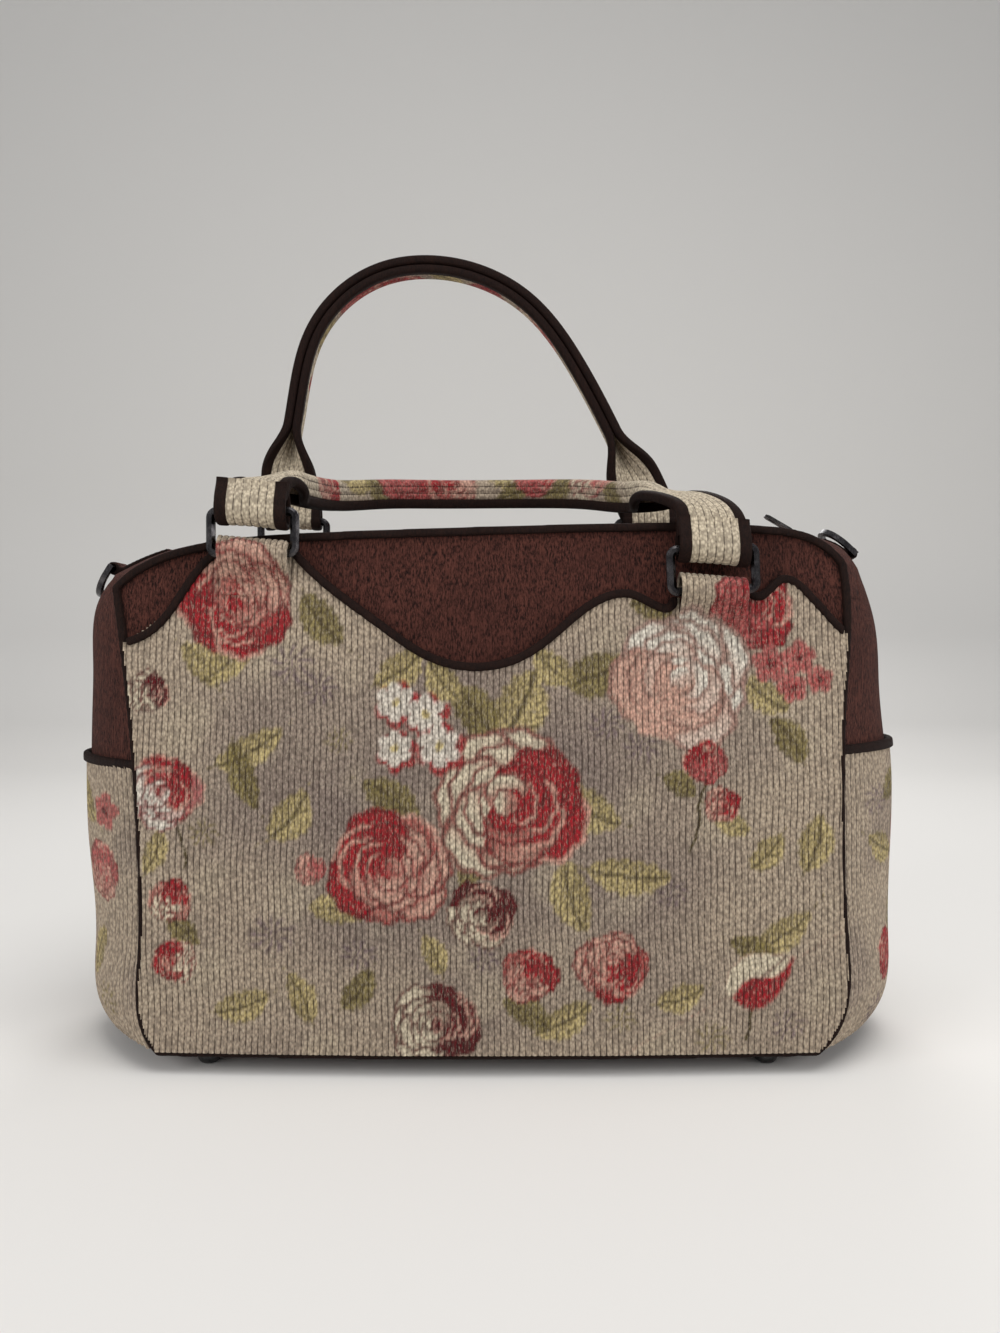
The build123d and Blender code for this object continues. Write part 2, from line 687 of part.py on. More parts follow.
# Pull: a tapered blade with an eye round the slider's pin
rise = math.radians(pull_rise)
pull_plane = Plane(
    origin=(slider_place, 0, pin_level),
    x_dir=(-math.cos(rise), 0, math.sin(rise)),
    z_dir=(-math.sin(rise), 0, -math.cos(rise)),
)
eye_radius = 2.1
with BuildPart() as pull:
    with BuildSketch(pull_plane):
        with BuildLine():
            Polyline((1.5, -eye_half), (5, -eye_half), (8, -pull_width / 2), (pull_length - 2, -pull_width / 2),
                     (pull_length, 2 - pull_width / 2), (pull_length, pull_width / 2 - 2),
                     (pull_length - 2, pull_width / 2), (8, pull_width / 2), (5, eye_half), (1.5, eye_half), close=True)
        make_face()
        with Locations((pull_length - 5, 0)):
            SlotOverall(6, 3, mode=Mode.SUBTRACT)
    extrude(amount=pull_thickness / 2, both=True)
    with BuildSketch(Plane.XZ.offset(eye_half)):
        with Locations((slider_place, pin_level)):
            Circle(eye_radius)
    extrude(amount=-2 * eye_half)
    with BuildSketch(Plane.XZ.offset(eye_half + 1)):
        with Locations((slider_place, pin_level)):
            Circle(pull_pin + pin_fit)
    extrude(amount=-2 * (eye_half + 1), mode=Mode.SUBTRACT)
save(pull.part, "zip_pull")

# End tabs: a folded strip sewn to each shoulder, looped round the straight bar of a D-ring
loop_radius = loop_bore + tab_ply


def tab_form(place, tail, half):
    """The tab's loop and tail between two Y limits."""
    with BuildPart() as tab:
        add(block(tail, (-half, half), (shoulder, 300)))
        add(pocket_form, mode=Mode.INTERSECT)
        with BuildSketch(Plane.XZ.offset(-half)):
            with Locations(place):
                Circle(loop_radius)
        extrude(amount=2 * half)
        with BuildSketch(Plane.XZ.offset(-half - 5)):
            with Locations(place):
                Circle(loop_bore)
        extrude(amount=2 * half + 10, mode=Mode.SUBTRACT)
        add(outer, mode=Mode.SUBTRACT)
    return tab.part


for name, place, tail in (("left", d_left, tail_left), ("right", d_right, tail_right)):
    inner_half = tab_width / 2 - tab_bound
    with BuildPart() as tab:
        add(tab_form(place, tail, tab_width / 2))
        add(block(everywhere, (-inner_half, inner_half), everywhere), mode=Mode.INTERSECT)
    save(tab.part, f"{name}_end_tab")
    with BuildPart() as bound:
        add(tab_form(place, tail, tab_width / 2))
        add(block(everywhere, (-inner_half, inner_half), everywhere), mode=Mode.SUBTRACT)
    save(bound.part, f"{name}_tab_binding")

# D-rings, hanging from the loops at their rest angles
for name, place, hang in (("left", d_left, d_left_hang), ("right", d_right, d_right_hang)):
    angle = math.radians(hang)
    plane = Plane(
        origin=(place[0], 0, place[1]),
        x_dir=(0, 1, 0),
        z_dir=(-math.sin(angle), 0, math.cos(angle)),
    )
    reach = d_inner_width / 2 + ring_wire
    with BuildPart() as d_ring:
        with BuildSketch(plane):
            with BuildLine():
                away = 1 if plane.y_dir.X * math.cos(angle) + plane.y_dir.Z * math.sin(angle) > 0 else -1
                base = -away * ring_wire / 2
                tip = away * (d_depth + ring_wire / 2)
                Line((-reach, base), (reach, base))
                Line((reach, base), (reach, away * 3.0))
                ThreePointArc((reach, away * 3.0), (0, tip), (-reach, away * 3.0))
                Line((-reach, away * 3.0), (-reach, base))
            make_face()
            offset(amount=-ring_wire, mode=Mode.SUBTRACT)
        extrude(amount=ring_wire / 2, both=True)
    save(d_ring.part, f"{name}_d_ring")
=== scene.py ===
# %% [markdown]
# A carpet bag with a zip top: a burgundy tweed body, knit pockets printed with old-fashioned roses, two
# strap handles that hang on metal rings, and four feet. The imported CAD model is loaded first. The outlines
# and paths below repeat the CAD model's own, in millimetres.

# %% Load the frame
import bpy
import bmesh
import math
import numpy as np
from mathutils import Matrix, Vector


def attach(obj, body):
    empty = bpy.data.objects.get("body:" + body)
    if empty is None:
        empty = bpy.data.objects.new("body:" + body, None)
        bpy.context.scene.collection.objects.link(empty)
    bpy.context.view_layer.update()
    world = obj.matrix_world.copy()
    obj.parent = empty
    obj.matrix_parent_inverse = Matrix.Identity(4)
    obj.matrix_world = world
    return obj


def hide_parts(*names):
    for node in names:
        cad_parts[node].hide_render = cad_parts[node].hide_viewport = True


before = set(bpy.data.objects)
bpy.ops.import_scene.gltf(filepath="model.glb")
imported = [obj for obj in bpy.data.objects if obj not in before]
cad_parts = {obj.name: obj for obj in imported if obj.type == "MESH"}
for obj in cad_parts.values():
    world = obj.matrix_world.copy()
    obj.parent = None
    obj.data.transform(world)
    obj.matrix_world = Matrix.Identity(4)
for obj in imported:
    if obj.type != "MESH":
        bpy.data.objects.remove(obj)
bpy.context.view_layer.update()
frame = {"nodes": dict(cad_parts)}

nodes = frame["nodes"]


# %% [markdown]
# The camera comes first. The photograph was taken from a little above the middle of the bag, about half a
# metre away, with a wide lens. A long-sided sensor of 36 mm and a 27 mm lens give the same perspective.

# %% Camera at the photographer's place
def add_object(name, data):
    """A new object, linked to the scene."""
    made = bpy.data.objects.new(name, data)
    bpy.context.scene.collection.objects.link(made)
    return made


camera_data = bpy.data.cameras.new("camera")
camera_data.sensor_fit = "VERTICAL"
camera_data.sensor_height = 36.0
camera_data.lens = 27.06
camera = add_object("camera", camera_data)
camera.location = (0.0064, -0.580, 0.213)
camera.rotation_euler = (math.radians(90 - 0.943), 0, 0)
bpy.context.scene.camera = camera
print("camera", tuple(round(v, 4) for v in camera.location))


# %% [markdown]
# A bag is judged by its cloth, so the light is plain and soft: one large panel above, one from each side,
# and a pale floor that curves up out of view. The panels are big, which keeps shadows soft in the folds.

# %% Studio light
def light_panel(name, place, target, size, power):
    """A square area light that faces a point."""
    data = bpy.data.lights.new(name, "AREA")
    data.shape = "SQUARE"
    data.size = size
    data.energy = power
    panel = add_object(name, data)
    panel.location = place
    facing = Vector(target) - Vector(place)
    panel.rotation_euler = facing.to_track_quat("-Z", "Y").to_euler()


light_panel("light_above", (0.3, -0.5, 1.7), (0, 0, 0.15), 1.2, 17)
light_panel("light_left", (-1.5, -1.2, 0.9), (0, 0, 0.2), 1.0, 15)
light_panel("light_right", (1.5, -1.0, 0.7), (0, 0, 0.2), 1.0, 10)
light_panel("light_behind", (0.2, 1.4, 1.2), (0, 0, 0.2), 1.0, 9)
world = bpy.data.worlds.new("studio")
bpy.context.scene.world = world
world.use_nodes = True
world.node_tree.nodes["Background"].inputs["Color"].default_value = (0.9, 0.92, 0.95, 1)
world.node_tree.nodes["Background"].inputs["Strength"].default_value = 0.42
bpy.context.scene.view_settings.view_transform = "Standard"


# %% [markdown]
# The floor is one sheet that turns up behind the bag, as a paper backdrop does.

# %% Floor and backdrop
def mesh_object(name, points, faces):
    """A smooth mesh object from points in metres and lists of corner numbers."""
    mesh = bpy.data.meshes.new(name)
    mesh.from_pydata([tuple(map(float, p)) for p in points], [], faces)
    mesh.update()
    mesh.shade_smooth()
    return add_object(name, mesh)


backdrop_line = [(-3.0, 0.0), (1.2, 0.0), (1.6, 0.05), (1.9, 0.25), (2.0, 0.6), (2.0, 3.0)]
floor_points = [(x, y, z) for y, z in backdrop_line for x in (-4.0, 4.0)]
floor_faces = [(2 * i, 2 * i + 1, 2 * i + 3, 2 * i + 2) for i in range(len(backdrop_line) - 1)]
floor = mesh_object("floor", floor_points, floor_faces)
paper = bpy.data.materials.new("pale_paper")
paper.use_nodes = True
paper_shader = paper.node_tree.nodes["Principled BSDF"]
paper_shader.inputs["Base Color"].default_value = (0.74, 0.72, 0.69, 1)
paper_shader.inputs["Roughness"].default_value = 0.9
floor.data.materials.append(paper)


# %% [markdown]
# Every cloth here shows the same three small effects at its own scale: slubs, which are thick places in the
# yarn, a weave, and soft blotches of wear. Each effect is a node group, built once, that gives out a mask or
# a height. The Principled shader stays in each material.

# %% Helpers for node groups
def new_group(name, inputs, outputs):
    """An empty shader node group with named number inputs and outputs."""
    group = bpy.data.node_groups.new(name, "ShaderNodeTree")
    for label, value in inputs:
        socket = group.interface.new_socket(name=label, in_out="INPUT", socket_type="NodeSocketFloat")
        socket.default_value = value
    for label in outputs:
        group.interface.new_socket(name=label, in_out="OUTPUT", socket_type="NodeSocketFloat")
    enter = group.nodes.new("NodeGroupInput")
    leave = group.nodes.new("NodeGroupOutput")
    return group, enter, leave


def feed(tree, value, socket):
    """Links a socket to another one, or sets its plain value."""
    if isinstance(value, bpy.types.NodeSocket):
        tree.links.new(value, socket)
    else:
        socket.default_value = value


def put(tree, kind, **values):
    """A new node with its properties and sockets fed by name."""
    node = tree.nodes.new(kind)
    for key, value in values.items():
        if hasattr(node, key):
            setattr(node, key, value)
        else:
            feed(tree, value, node.inputs[key.replace("_", " ")])
    return node


def calculate(tree, operation, first, second):
    """The result of a number node, from two numbers or sockets."""
    node = put(tree, "ShaderNodeMath", operation=operation)
    feed(tree, first, node.inputs[0])
    feed(tree, second, node.inputs[1])
    return node.outputs["Value"]


def stretched_place(tree, stretch):
    """Object coordinates stretched along each axis."""
    place = put(tree, "ShaderNodeTexCoord").outputs["Object"]
    return put(tree, "ShaderNodeMapping", Vector=place, Scale=stretch).outputs["Vector"]


# %% Group: slubs, long streaks of thick yarn
slub_group, enter, leave = new_group("slubs", [("Scale", 260.0)], ["Streak", "Fleck"])
streaks = put(slub_group, "ShaderNodeTexNoise", Vector=stretched_place(slub_group, (1.0, 1.0, 0.07)),
              Scale=enter.outputs["Scale"], Detail=3.0, Roughness=0.65)
streak_edge = put(slub_group, "ShaderNodeMapRange", interpolation_type="SMOOTHSTEP",
                  Value=streaks.outputs["Fac"], From_Min=0.52, From_Max=0.74)
feed(slub_group, streak_edge.outputs["Result"], leave.inputs["Streak"])
flecks = put(slub_group, "ShaderNodeTexNoise", Vector=stretched_place(slub_group, (1.0, 1.0, 0.28)),
             Scale=1300.0, Detail=2.0, Roughness=0.7)
fleck_edge = put(slub_group, "ShaderNodeMapRange", Value=flecks.outputs["Fac"], From_Min=0.36, From_Max=0.66)
feed(slub_group, fleck_edge.outputs["Result"], leave.inputs["Fleck"])


# %% Group: weave, two sets of threads that cross
weave_group, enter, leave = new_group("weave", [("Threads", 1500.0)], ["Height"])
place = put(weave_group, "ShaderNodeTexCoord").outputs["Object"]
threads = []
for direction in ("X", "Z"):
    wave = put(weave_group, "ShaderNodeTexWave", wave_type="BANDS", bands_direction=direction, Vector=place,
               Scale=enter.outputs["Threads"], Distortion=1.6, Detail=1.0)
    threads.append(wave.outputs["Fac"])
feed(weave_group, calculate(weave_group, "MAXIMUM", *threads), leave.inputs["Height"])


# %% Group: wear, soft blotches where hands and shelves have rubbed
wear_group, enter, leave = new_group("wear", [("Scale", 14.0)], ["Mask"])
place = put(wear_group, "ShaderNodeTexCoord").outputs["Object"]
blotch = put(wear_group, "ShaderNodeTexNoise", Vector=place, Scale=enter.outputs["Scale"], Detail=4.0,
             Roughness=0.6)
soft = put(wear_group, "ShaderNodeMapRange", interpolation_type="SMOOTHSTEP", Value=blotch.outputs["Fac"],
           From_Min=0.35, From_Max=0.7)
feed(wear_group, soft.outputs["Result"], leave.inputs["Mask"])
print("groups", [g.name for g in bpy.data.node_groups])


# %% [markdown]
# The tweed is a dark wine cloth with paler upright streaks and a dry face. Its shine is kept very low, so
# that it doesn't look like painted card. Colours are mixed in linear light, so a helper turns the familiar
# 0 to 255 values into them.

# %% Materials: helpers and tweed
def tone(red, green, blue):
    """A linear colour from 0 to 255 screen values."""
    def linear(v):
        v /= 255.0
        return v / 12.92 if v <= 0.04045 else ((v + 0.055) / 1.055) ** 2.4
    return (linear(red), linear(green), linear(blue), 1.0)


def new_material(name, roughness, **shader):
    """A material with its Principled shader's plain values set, and its node tree."""
    material = bpy.data.materials.new(name)
    material.use_nodes = True
    principled = material.node_tree.nodes["Principled BSDF"]
    principled.inputs["Roughness"].default_value = roughness
    for key, value in shader.items():
        principled.inputs[key.replace("_", " ")].default_value = value
    return material, material.node_tree, principled


def use_group(tree, group, **values):
    """A node that stands for a shared group."""
    node = tree.nodes.new("ShaderNodeGroup")
    node.node_tree = group
    for key, value in values.items():
        node.inputs[key].default_value = value
    return node


def mix_colour(tree, mask, first, second):
    """A colour between two, by a mask. Each colour is a value or a socket."""
    node = put(tree, "ShaderNodeMix", data_type="RGBA")
    for label, value in (("Factor", mask), ("A", first), ("B", second)):
        feed(tree, value, node.inputs[label])
    return node.outputs["Result"]


def bump(tree, principled, height, strength, distance):
    """Feeds a height to the shader's normal."""
    node = put(tree, "ShaderNodeBump", Height=height, Strength=strength, Distance=distance)
    feed(tree, node.outputs["Normal"], principled.inputs["Normal"])


def cloth_material(name, dark, pale, slub_scale, threads, wear_tone, relief=0.0004, sheen=0.25,
                   roughness=0.88):
    """A woven cloth: slubs and flecks over a ground, blotches of wear, and a weave in relief."""
    material, tree, principled = new_material(name, roughness, Sheen_Weight=sheen, Specular_IOR_Level=0.12)
    slubs = use_group(tree, slub_group, Scale=slub_scale)
    ground = mix_colour(tree, slubs.outputs["Fleck"], dark, pale)
    streaked = mix_colour(tree, slubs.outputs["Streak"], ground, pale)
    wear = use_group(tree, wear_group, Scale=16.0)
    soft_wear = calculate(tree, "MULTIPLY", wear.outputs["Mask"], 0.4)
    feed(tree, mix_colour(tree, soft_wear, streaked, wear_tone), principled.inputs["Base Color"])
    weave = use_group(tree, weave_group, Threads=threads)
    height = calculate(tree, "ADD", weave.outputs["Height"], slubs.outputs["Fleck"])
    bump(tree, principled, height, 0.8, relief)
    return material


tweed = cloth_material("burgundy_tweed", tone(18, 6, 5), tone(104, 60, 50), 640.0, 900.0,
                       tone(52, 26, 21), sheen=0.02)
binding = cloth_material("dark_bias_tape", tone(19, 9, 7), tone(40, 22, 16), 300.0, 1500.0,
                         tone(33, 18, 13), relief=0.0002, sheen=0.0, roughness=0.7)
zip_cloth = cloth_material("zip_tape_weave", tone(28, 18, 17), tone(52, 36, 34), 500.0, 2600.0,
                           tone(46, 34, 32), relief=0.00015)
board = cloth_material("grey_board", tone(112, 98, 80), tone(150, 134, 112), 120.0, 600.0,
                       tone(130, 116, 96), relief=0.0001, sheen=0.0)
print("cloths", tweed.name, binding.name, zip_cloth.name, board.name)


# %% [markdown]
# The metal is plated nearly black. Soft paler places show where hands have rubbed it, and fine scratches
# change its roughness. The same finish, a little paler, serves the slider. Teeth and feet are of moulded
# plastic.

# %% Materials: metal, teeth and feet
def plated_metal(name, ground, rubbed, roughness):
    """Dark plating with fine scratches and paler rubbed places."""
    material, tree, principled = new_material(name, roughness, Metallic=1.0, Specular_IOR_Level=0.5)
    wear = use_group(tree, wear_group, Scale=160.0)
    scratches = use_group(tree, slub_group, Scale=1500.0)
    feed(tree, mix_colour(tree, wear.outputs["Mask"], ground, rubbed), principled.inputs["Base Color"])
    rough = put(tree, "ShaderNodeMapRange", Value=scratches.outputs["Fleck"], To_Min=roughness * 0.7,
                To_Max=roughness * 1.5)
    feed(tree, rough.outputs["Result"], principled.inputs["Roughness"])
    return material


gunmetal = plated_metal("gunmetal_plating", tone(52, 50, 52), tone(88, 85, 86), 0.26)
slider_metal = plated_metal("slider_plating", tone(60, 57, 57), tone(104, 100, 98), 0.3)


def moulded(name, ground, pale, roughness):
    """A moulded plastic with faint blotches and a fine grain."""
    material, tree, principled = new_material(name, roughness)
    wear = use_group(tree, wear_group, Scale=220.0)
    feed(tree, mix_colour(tree, wear.outputs["Mask"], ground, pale), principled.inputs["Base Color"])
    grain = use_group(tree, slub_group, Scale=2000.0)
    bump(tree, principled, grain.outputs["Fleck"], 0.3, 0.0001)
    return material


teeth_plastic = moulded("zip_teeth_plastic", tone(30, 22, 21), tone(58, 44, 40), 0.35)
foot_plastic = moulded("foot_plastic", tone(20, 19, 19), tone(44, 42, 41), 0.3)


# %% [markdown]
# The printed knit takes its colour from the mesh: each point carries the colour of the print at its place, in
# an attribute. The material adds what the knit does to the print: painted shade in the gaps between the ribs,
# small stitches up each rib with painted shade between them, and a soft fuzz. Rib pitches are in millimetres.

# %% Material: printed knit
RIB_PITCH = 3.1
STRAP_PITCH = 4.1
RIBS_IN_STRAP = 6

knit, knit_tree, knit_shader = new_material("rose_knit", 0.92, Sheen_Weight=0.06, Specular_IOR_Level=0.12)
print_colour = put(knit_tree, "ShaderNodeAttribute", attribute_name="print").outputs["Color"]
# An attribute of painted shade in the grooves between the ribs, 1 in a groove.
rib_gap_shade = put(knit_tree, "ShaderNodeAttribute", attribute_name="gap_shade").outputs["Fac"]
fuzz = use_group(knit_tree, slub_group, Scale=700.0).outputs["Fleck"]
stitch = put(knit_tree, "ShaderNodeTexVoronoi", Vector=stretched_place(knit_tree, (1.0, 1.0, 0.62)),
             Scale=720.0).outputs["Distance"]


def scaled(value, low, high, least, most):
    """A value between low and high, as a number from least to most."""
    node = put(knit_tree, "ShaderNodeMapRange", Value=value, From_Min=low, From_Max=high, To_Min=least,
               To_Max=most)
    return node.outputs["Result"]


# Painted shade between the small stitches: the print darkens towards the edge of each stitch.
shaded = mix_colour(knit_tree, scaled(stitch, 0.15, 0.7, 0.0, 0.56), print_colour, tone(62, 50, 44))
fuzzy = mix_colour(knit_tree, scaled(fuzz, 0.55, 1.0, 0.0, 0.24), shaded, tone(214, 200, 178))
# Painted shade in the grooves between the ribs, broken up by the stitches.
gap_shade_core = scaled(rib_gap_shade, 0.45, 1.0, 0.0, 0.95)
gap_shade_breaks = scaled(stitch, 0.1, 0.6, 0.35, 1.0)
broken_gap_shade = calculate(knit_tree, "MULTIPLY", gap_shade_core, gap_shade_breaks)
gap_shaded = mix_colour(knit_tree, broken_gap_shade, fuzzy, tone(44, 32, 28))
feed(knit_tree, gap_shaded, knit_shader.inputs["Base Color"])
bump(knit_tree, knit_shader, calculate(knit_tree, "SUBTRACT", fuzz, stitch), 0.7, 0.0004)
print("rib pitch", RIB_PITCH)


# %% [markdown]
# The print is the old cottage kind: full cabbage roses, small open blossoms, one tulip, half-faded sprigs and
# yellow-green leaves, scattered on a taupe ground. Each flower is drawn by a small function of distance and
# angle, so no picture is needed. Functions work on whole arrays of points at once. Sizes are in millimetres.

# %% Print: colours and soft shapes
def rgb(red, green, blue):
    """A linear colour of three numbers, for the print."""
    return np.array(tone(red, green, blue)[:3])


TAUPE = rgb(186, 168, 146)
STONE = rgb(142, 126, 116)
SAND = rgb(198, 182, 156)
RED = rgb(162, 26, 38)
DEEP_RED = rgb(92, 12, 22)
ROSE = rgb(188, 98, 94)
BLUSH = rgb(214, 168, 148)
CREAM = rgb(226, 212, 184)
WHITE = rgb(236, 228, 212)
OLIVE = rgb(142, 128, 76)
MUSTARD = rgb(204, 184, 126)
MOSS = rgb(74, 64, 34)
PLUM = rgb(98, 78, 92)


def step(value, low, high):
    """Runs smoothly from 0 at low to 1 at high."""
    part = np.clip((value - low) / (high - low), 0, 1)
    return part * part * (3 - 2 * part)


def lay(canvas, mask, colour):
    """Lays a colour over the canvas where the mask is 1."""
    mask = mask[:, None]
    return canvas * (1 - mask) + colour * mask


def ripple(x, z, size, seed):
    """A smooth, seeded wobble between about -1 and 1."""
    total = np.zeros_like(x)
    for turn in range(4):
        angle = seed * 1.7 + turn * 2.1
        freq = (1 + 0.6 * turn) / size
        total += np.sin(freq * (x * math.cos(angle) + z * math.sin(angle)) + seed + turn * 1.3)
    return total / 4


# %% Print: petals and flowers
def near(x, z, centre, reach):
    """Numbers of the points close enough to a motif to be painted by it."""
    return np.nonzero((np.abs(x - centre[0]) < reach) & (np.abs(z - centre[1]) < reach))[0]


def turned(x, z, centre, angle):
    """Distances from a centre, along a direction and across it."""
    dx = x - centre[0]
    dz = z - centre[1]
    return dx * math.cos(angle) + dz * math.sin(angle), dz * math.cos(angle) - dx * math.sin(angle)


def petal(canvas, x, z, centre, size, angle, pale, warm, line):
    """A round petal: pale at its rim, warm at its root, with a dark outline and a few fine streaks."""
    chosen = near(x, z, centre, size * 1.5)
    along, across = turned(x[chosen], z[chosen], centre, angle)
    along = along / size
    across = across / size
    reach = np.hypot(along, across * 0.82) * (1 + 0.05 * np.sin(7 * np.arctan2(across, along) + size))
    root = step(-along, -0.75, 0.55)[:, None]
    body = pale * (1 - root) + warm * root
    streaks = step(np.sin(across * 17 + along * 4), 0.55, 0.95) * step(-along, -0.3, 0.3)
    body = lay(body, streaks * 0.45, line)
    rim = step(reach, 0.74, 0.86) * step(along, -0.5, 0.1)
    body = lay(body, rim * 0.85, line)
    canvas[chosen] = lay(canvas[chosen], 1 - step(reach, 0.9, 1.0), body)
    return canvas


# Each ring of a rose: number of petals, distance from the middle and size, as shares of the rose's size
ROSE_RINGS = ((7, 0.60, 0.46), (6, 0.44, 0.40), (5, 0.29, 0.33), (4, 0.16, 0.25), (2, 0.05, 0.16))


def rose(canvas, x, z, centre, size, warm, pale, split, seed):
    """A cabbage rose: rings of petals that overlap inward, warm on one side and pale on the other."""
    for ring, (count, distance, petal_size) in enumerate(ROSE_RINGS):
        for number in range(count):
            angle = 2 * math.pi * (number + 0.41 * ring + 0.12 * math.sin(seed + number * 2.3)) / count + seed
            lit = 0.5 + 0.5 * math.cos(angle - split) + 0.22 * math.sin(seed * 3 + number * 1.9 + ring)
            lit = float(step(lit, 0.3, 0.75))
            away = distance * size * (1 + 0.13 * math.sin(seed * 5 + number * 2.7))
            place = (centre[0] + away * math.cos(angle), centre[1] + away * math.sin(angle) * 0.92)
            body = pale * (1 - lit) + warm * lit
            root = body * 0.3 + warm * 0.7
            line = BLUSH if lit > 0.6 and (number + ring) % 2 else warm * 0.4 + DEEP_RED * 0.45
            canvas = petal(canvas, x, z, place, petal_size * size, angle, body, root, line)
    return canvas


def blossom(canvas, x, z, centre, size, colour, eye, petals=5, turn=0.0):
    """A small open flower with round petals and fine rays."""
    chosen = near(x, z, centre, size * 1.2)
    dx = x[chosen] - centre[0]
    dz = z[chosen] - centre[1]
    angle = np.arctan2(dz, dx) + turn
    reach = np.hypot(dx, dz) / size
    outline = 0.66 + 0.34 * np.abs(np.cos(petals * angle / 2)) ** 0.7
    part = lay(canvas[chosen], (1 - step(reach / outline, 0.82, 1.0)) * 0.92, colour)
    rays = (1 - step(np.abs(np.sin(petals * angle / 2)), 0.0, 0.3)) * (1 - step(reach, 0.55, 0.8))
    part = lay(part, rays * 0.6 * step(reach, 0.15, 0.3), colour * 0.4)
    canvas[chosen] = lay(part, 1 - step(reach, 0.14, 0.26), eye)
    return canvas


def spray(canvas, x, z, centre, size, colour, seed):
    """A loose, half-faded sprig of short curved strokes."""
    chosen = near(x, z, centre, size * 1.3)
    dx = x[chosen] - centre[0] + 1.5 * ripple(x[chosen], z[chosen], 4.0, seed)
    dz = z[chosen] - centre[1]
    angle = np.arctan2(dz, dx)
    reach = np.hypot(dx, dz * 1.2) / size
    strokes = step(np.sin(angle * 9 + reach * 5 + seed), 0.1, 0.7) * (1 - step(reach, 0.6, 1.0))
    canvas[chosen] = lay(canvas[chosen], strokes * 0.7, colour)
    return canvas


def leaf(canvas, x, z, centre, length, width, angle, colour):
    """A broad, pale leaf with a midrib, curved side veins and one shaded half."""
    chosen = near(x, z, centre, length * 1.2)
    along, across = turned(x[chosen], z[chosen], centre, angle)
    along = along / length
    across = across / width - 0.25 * (along * along - 0.4)
    jag = 0.07 * np.sin(along * 19)
    shape = np.abs(across) + jag - np.clip(1 - along * along, 0, 1) ** 0.8
    inside = 1 - step(shape, -0.14, 0.08)
    part = lay(canvas[chosen], inside * 0.9, colour)
    part = lay(part, inside * step(across, -0.2, 0.9) * 0.4, MOSS)
    rib = inside * (1 - step(np.abs(across), 0.05, 0.16)) * 0.8
    beat = ((along - np.abs(across) * 0.45) * 4.5) % 1 - 0.5
    veins = inside * (1 - step(np.abs(beat), 0.02, 0.2)) * 0.65 * step(np.abs(across), 0.05, 0.2)
    canvas[chosen] = lay(part, np.maximum(rib, veins), MOSS)
    return canvas


def tulip(canvas, x, z, centre, length, width, angle, left, right):
    """A closed flower: a drop of two colours with a pointed tip."""
    along, across = turned(x, z, centre, angle)
    along = along / length
    across = across / width
    belly = np.clip(1 - along, 0, 2) * np.clip(1 + along, 0, 2) ** 0.6
    inside = 1 - step(np.abs(across) - belly, -0.12, 0.06)
    canvas = lay(canvas, inside, left)
    canvas = lay(canvas, inside * step(across + 0.2 * np.sin(along * 4), -0.1, 0.1), right)
    return lay(canvas, inside * (1 - step(np.abs(across - 0.3 * along), 0.0, 0.1)) * 0.7, DEEP_RED)


def stem(canvas, x, z, start, end):
    """A short stem with a slight wave."""
    width = 0.9
    length = math.dist(start, end)
    along, off = turned(x, z, start, math.atan2(end[1] - start[1], end[0] - start[0]))
    off = off + 1.2 * np.sin(along / 5)
    ends = step(along, -1, 1) * (1 - step(along, length - 1, length + 1))
    return lay(canvas, (1 - step(np.abs(off), width * 0.6, width)) * ends, MOSS)


def scatter(canvas, x, z, draw, motifs):
    """Draws one kind of motif once for each row of a table."""
    for motif in motifs:
        canvas = draw(canvas, x, z, *motif)
    return canvas


# %% Print: the front pocket's flowers
FRONT_LEAVES = (
    ((16, 184), 21, 13, 1.1, MUSTARD), ((-6, 182), 18, 10, 2.2, OLIVE), ((-47, 138), 18, 9, 2.5, OLIVE),
    ((49, 134), 19, 11, -0.5, MUSTARD), ((70, 101), 22, 9, -0.1, MUSTARD), ((42, 91), 19, 10, -1.3, MUSTARD),
    ((-119, 163), 20, 8, 0.5, MUSTARD), ((-122, 150), 18, 7, -1.2, OLIVE), ((-98, 130), 15, 10, 0.9, MUSTARD),
    ((54, 201), 17, 11, 0.4, OLIVE), ((33, 204), 13, 8, -0.7, MUSTARD), ((-44, 203), 15, 9, 0.6, MUSTARD),
    ((-22, 197), 13, 8, -0.9, MUSTARD), ((-84, 228), 17, 9, -0.9, OLIVE), ((-144, 206), 15, 8, 2.3, MUSTARD),
    ((-131, 207), 15, 8, 0.7, MUSTARD), ((147, 71), 18, 8, 0.6, MUSTARD), ((134, 62), 15, 7, 2.6, OLIVE),
    ((164, 116), 15, 9, 1.3, MUSTARD), ((121, 127), 11, 6, -0.5, MUSTARD), ((96, 146), 10, 6, 2.6, OLIVE),
    ((38, 29), 16, 8, 0.5, MUSTARD), ((20, 33), 14, 7, 2.6, OLIVE), ((-122, 36), 15, 8, 0.3, MUSTARD),
    ((-92, 40), 14, 7, 2.0, MUSTARD), ((-64, 44), 13, 7, 0.9, OLIVE), ((-8, 106), 12, 7, 1.3, OLIVE),
    ((-76, 84), 13, 7, 2.9, MUSTARD), ((152, 168), 14, 8, 2.2, OLIVE), ((140, 190), 14, 8, -0.6, MUSTARD),
    ((-166, 112), 12, 6, 1.2, MUSTARD), ((-152, 74), 12, 6, -0.8, OLIVE), ((-26, 62), 11, 6, 2.0, MUSTARD),
    ((96, 40), 13, 7, 0.3, MUSTARD), ((84, 234), 12, 7, 2.8, OLIVE), ((140, 112), 12, 7, 0.8, MUSTARD),
)
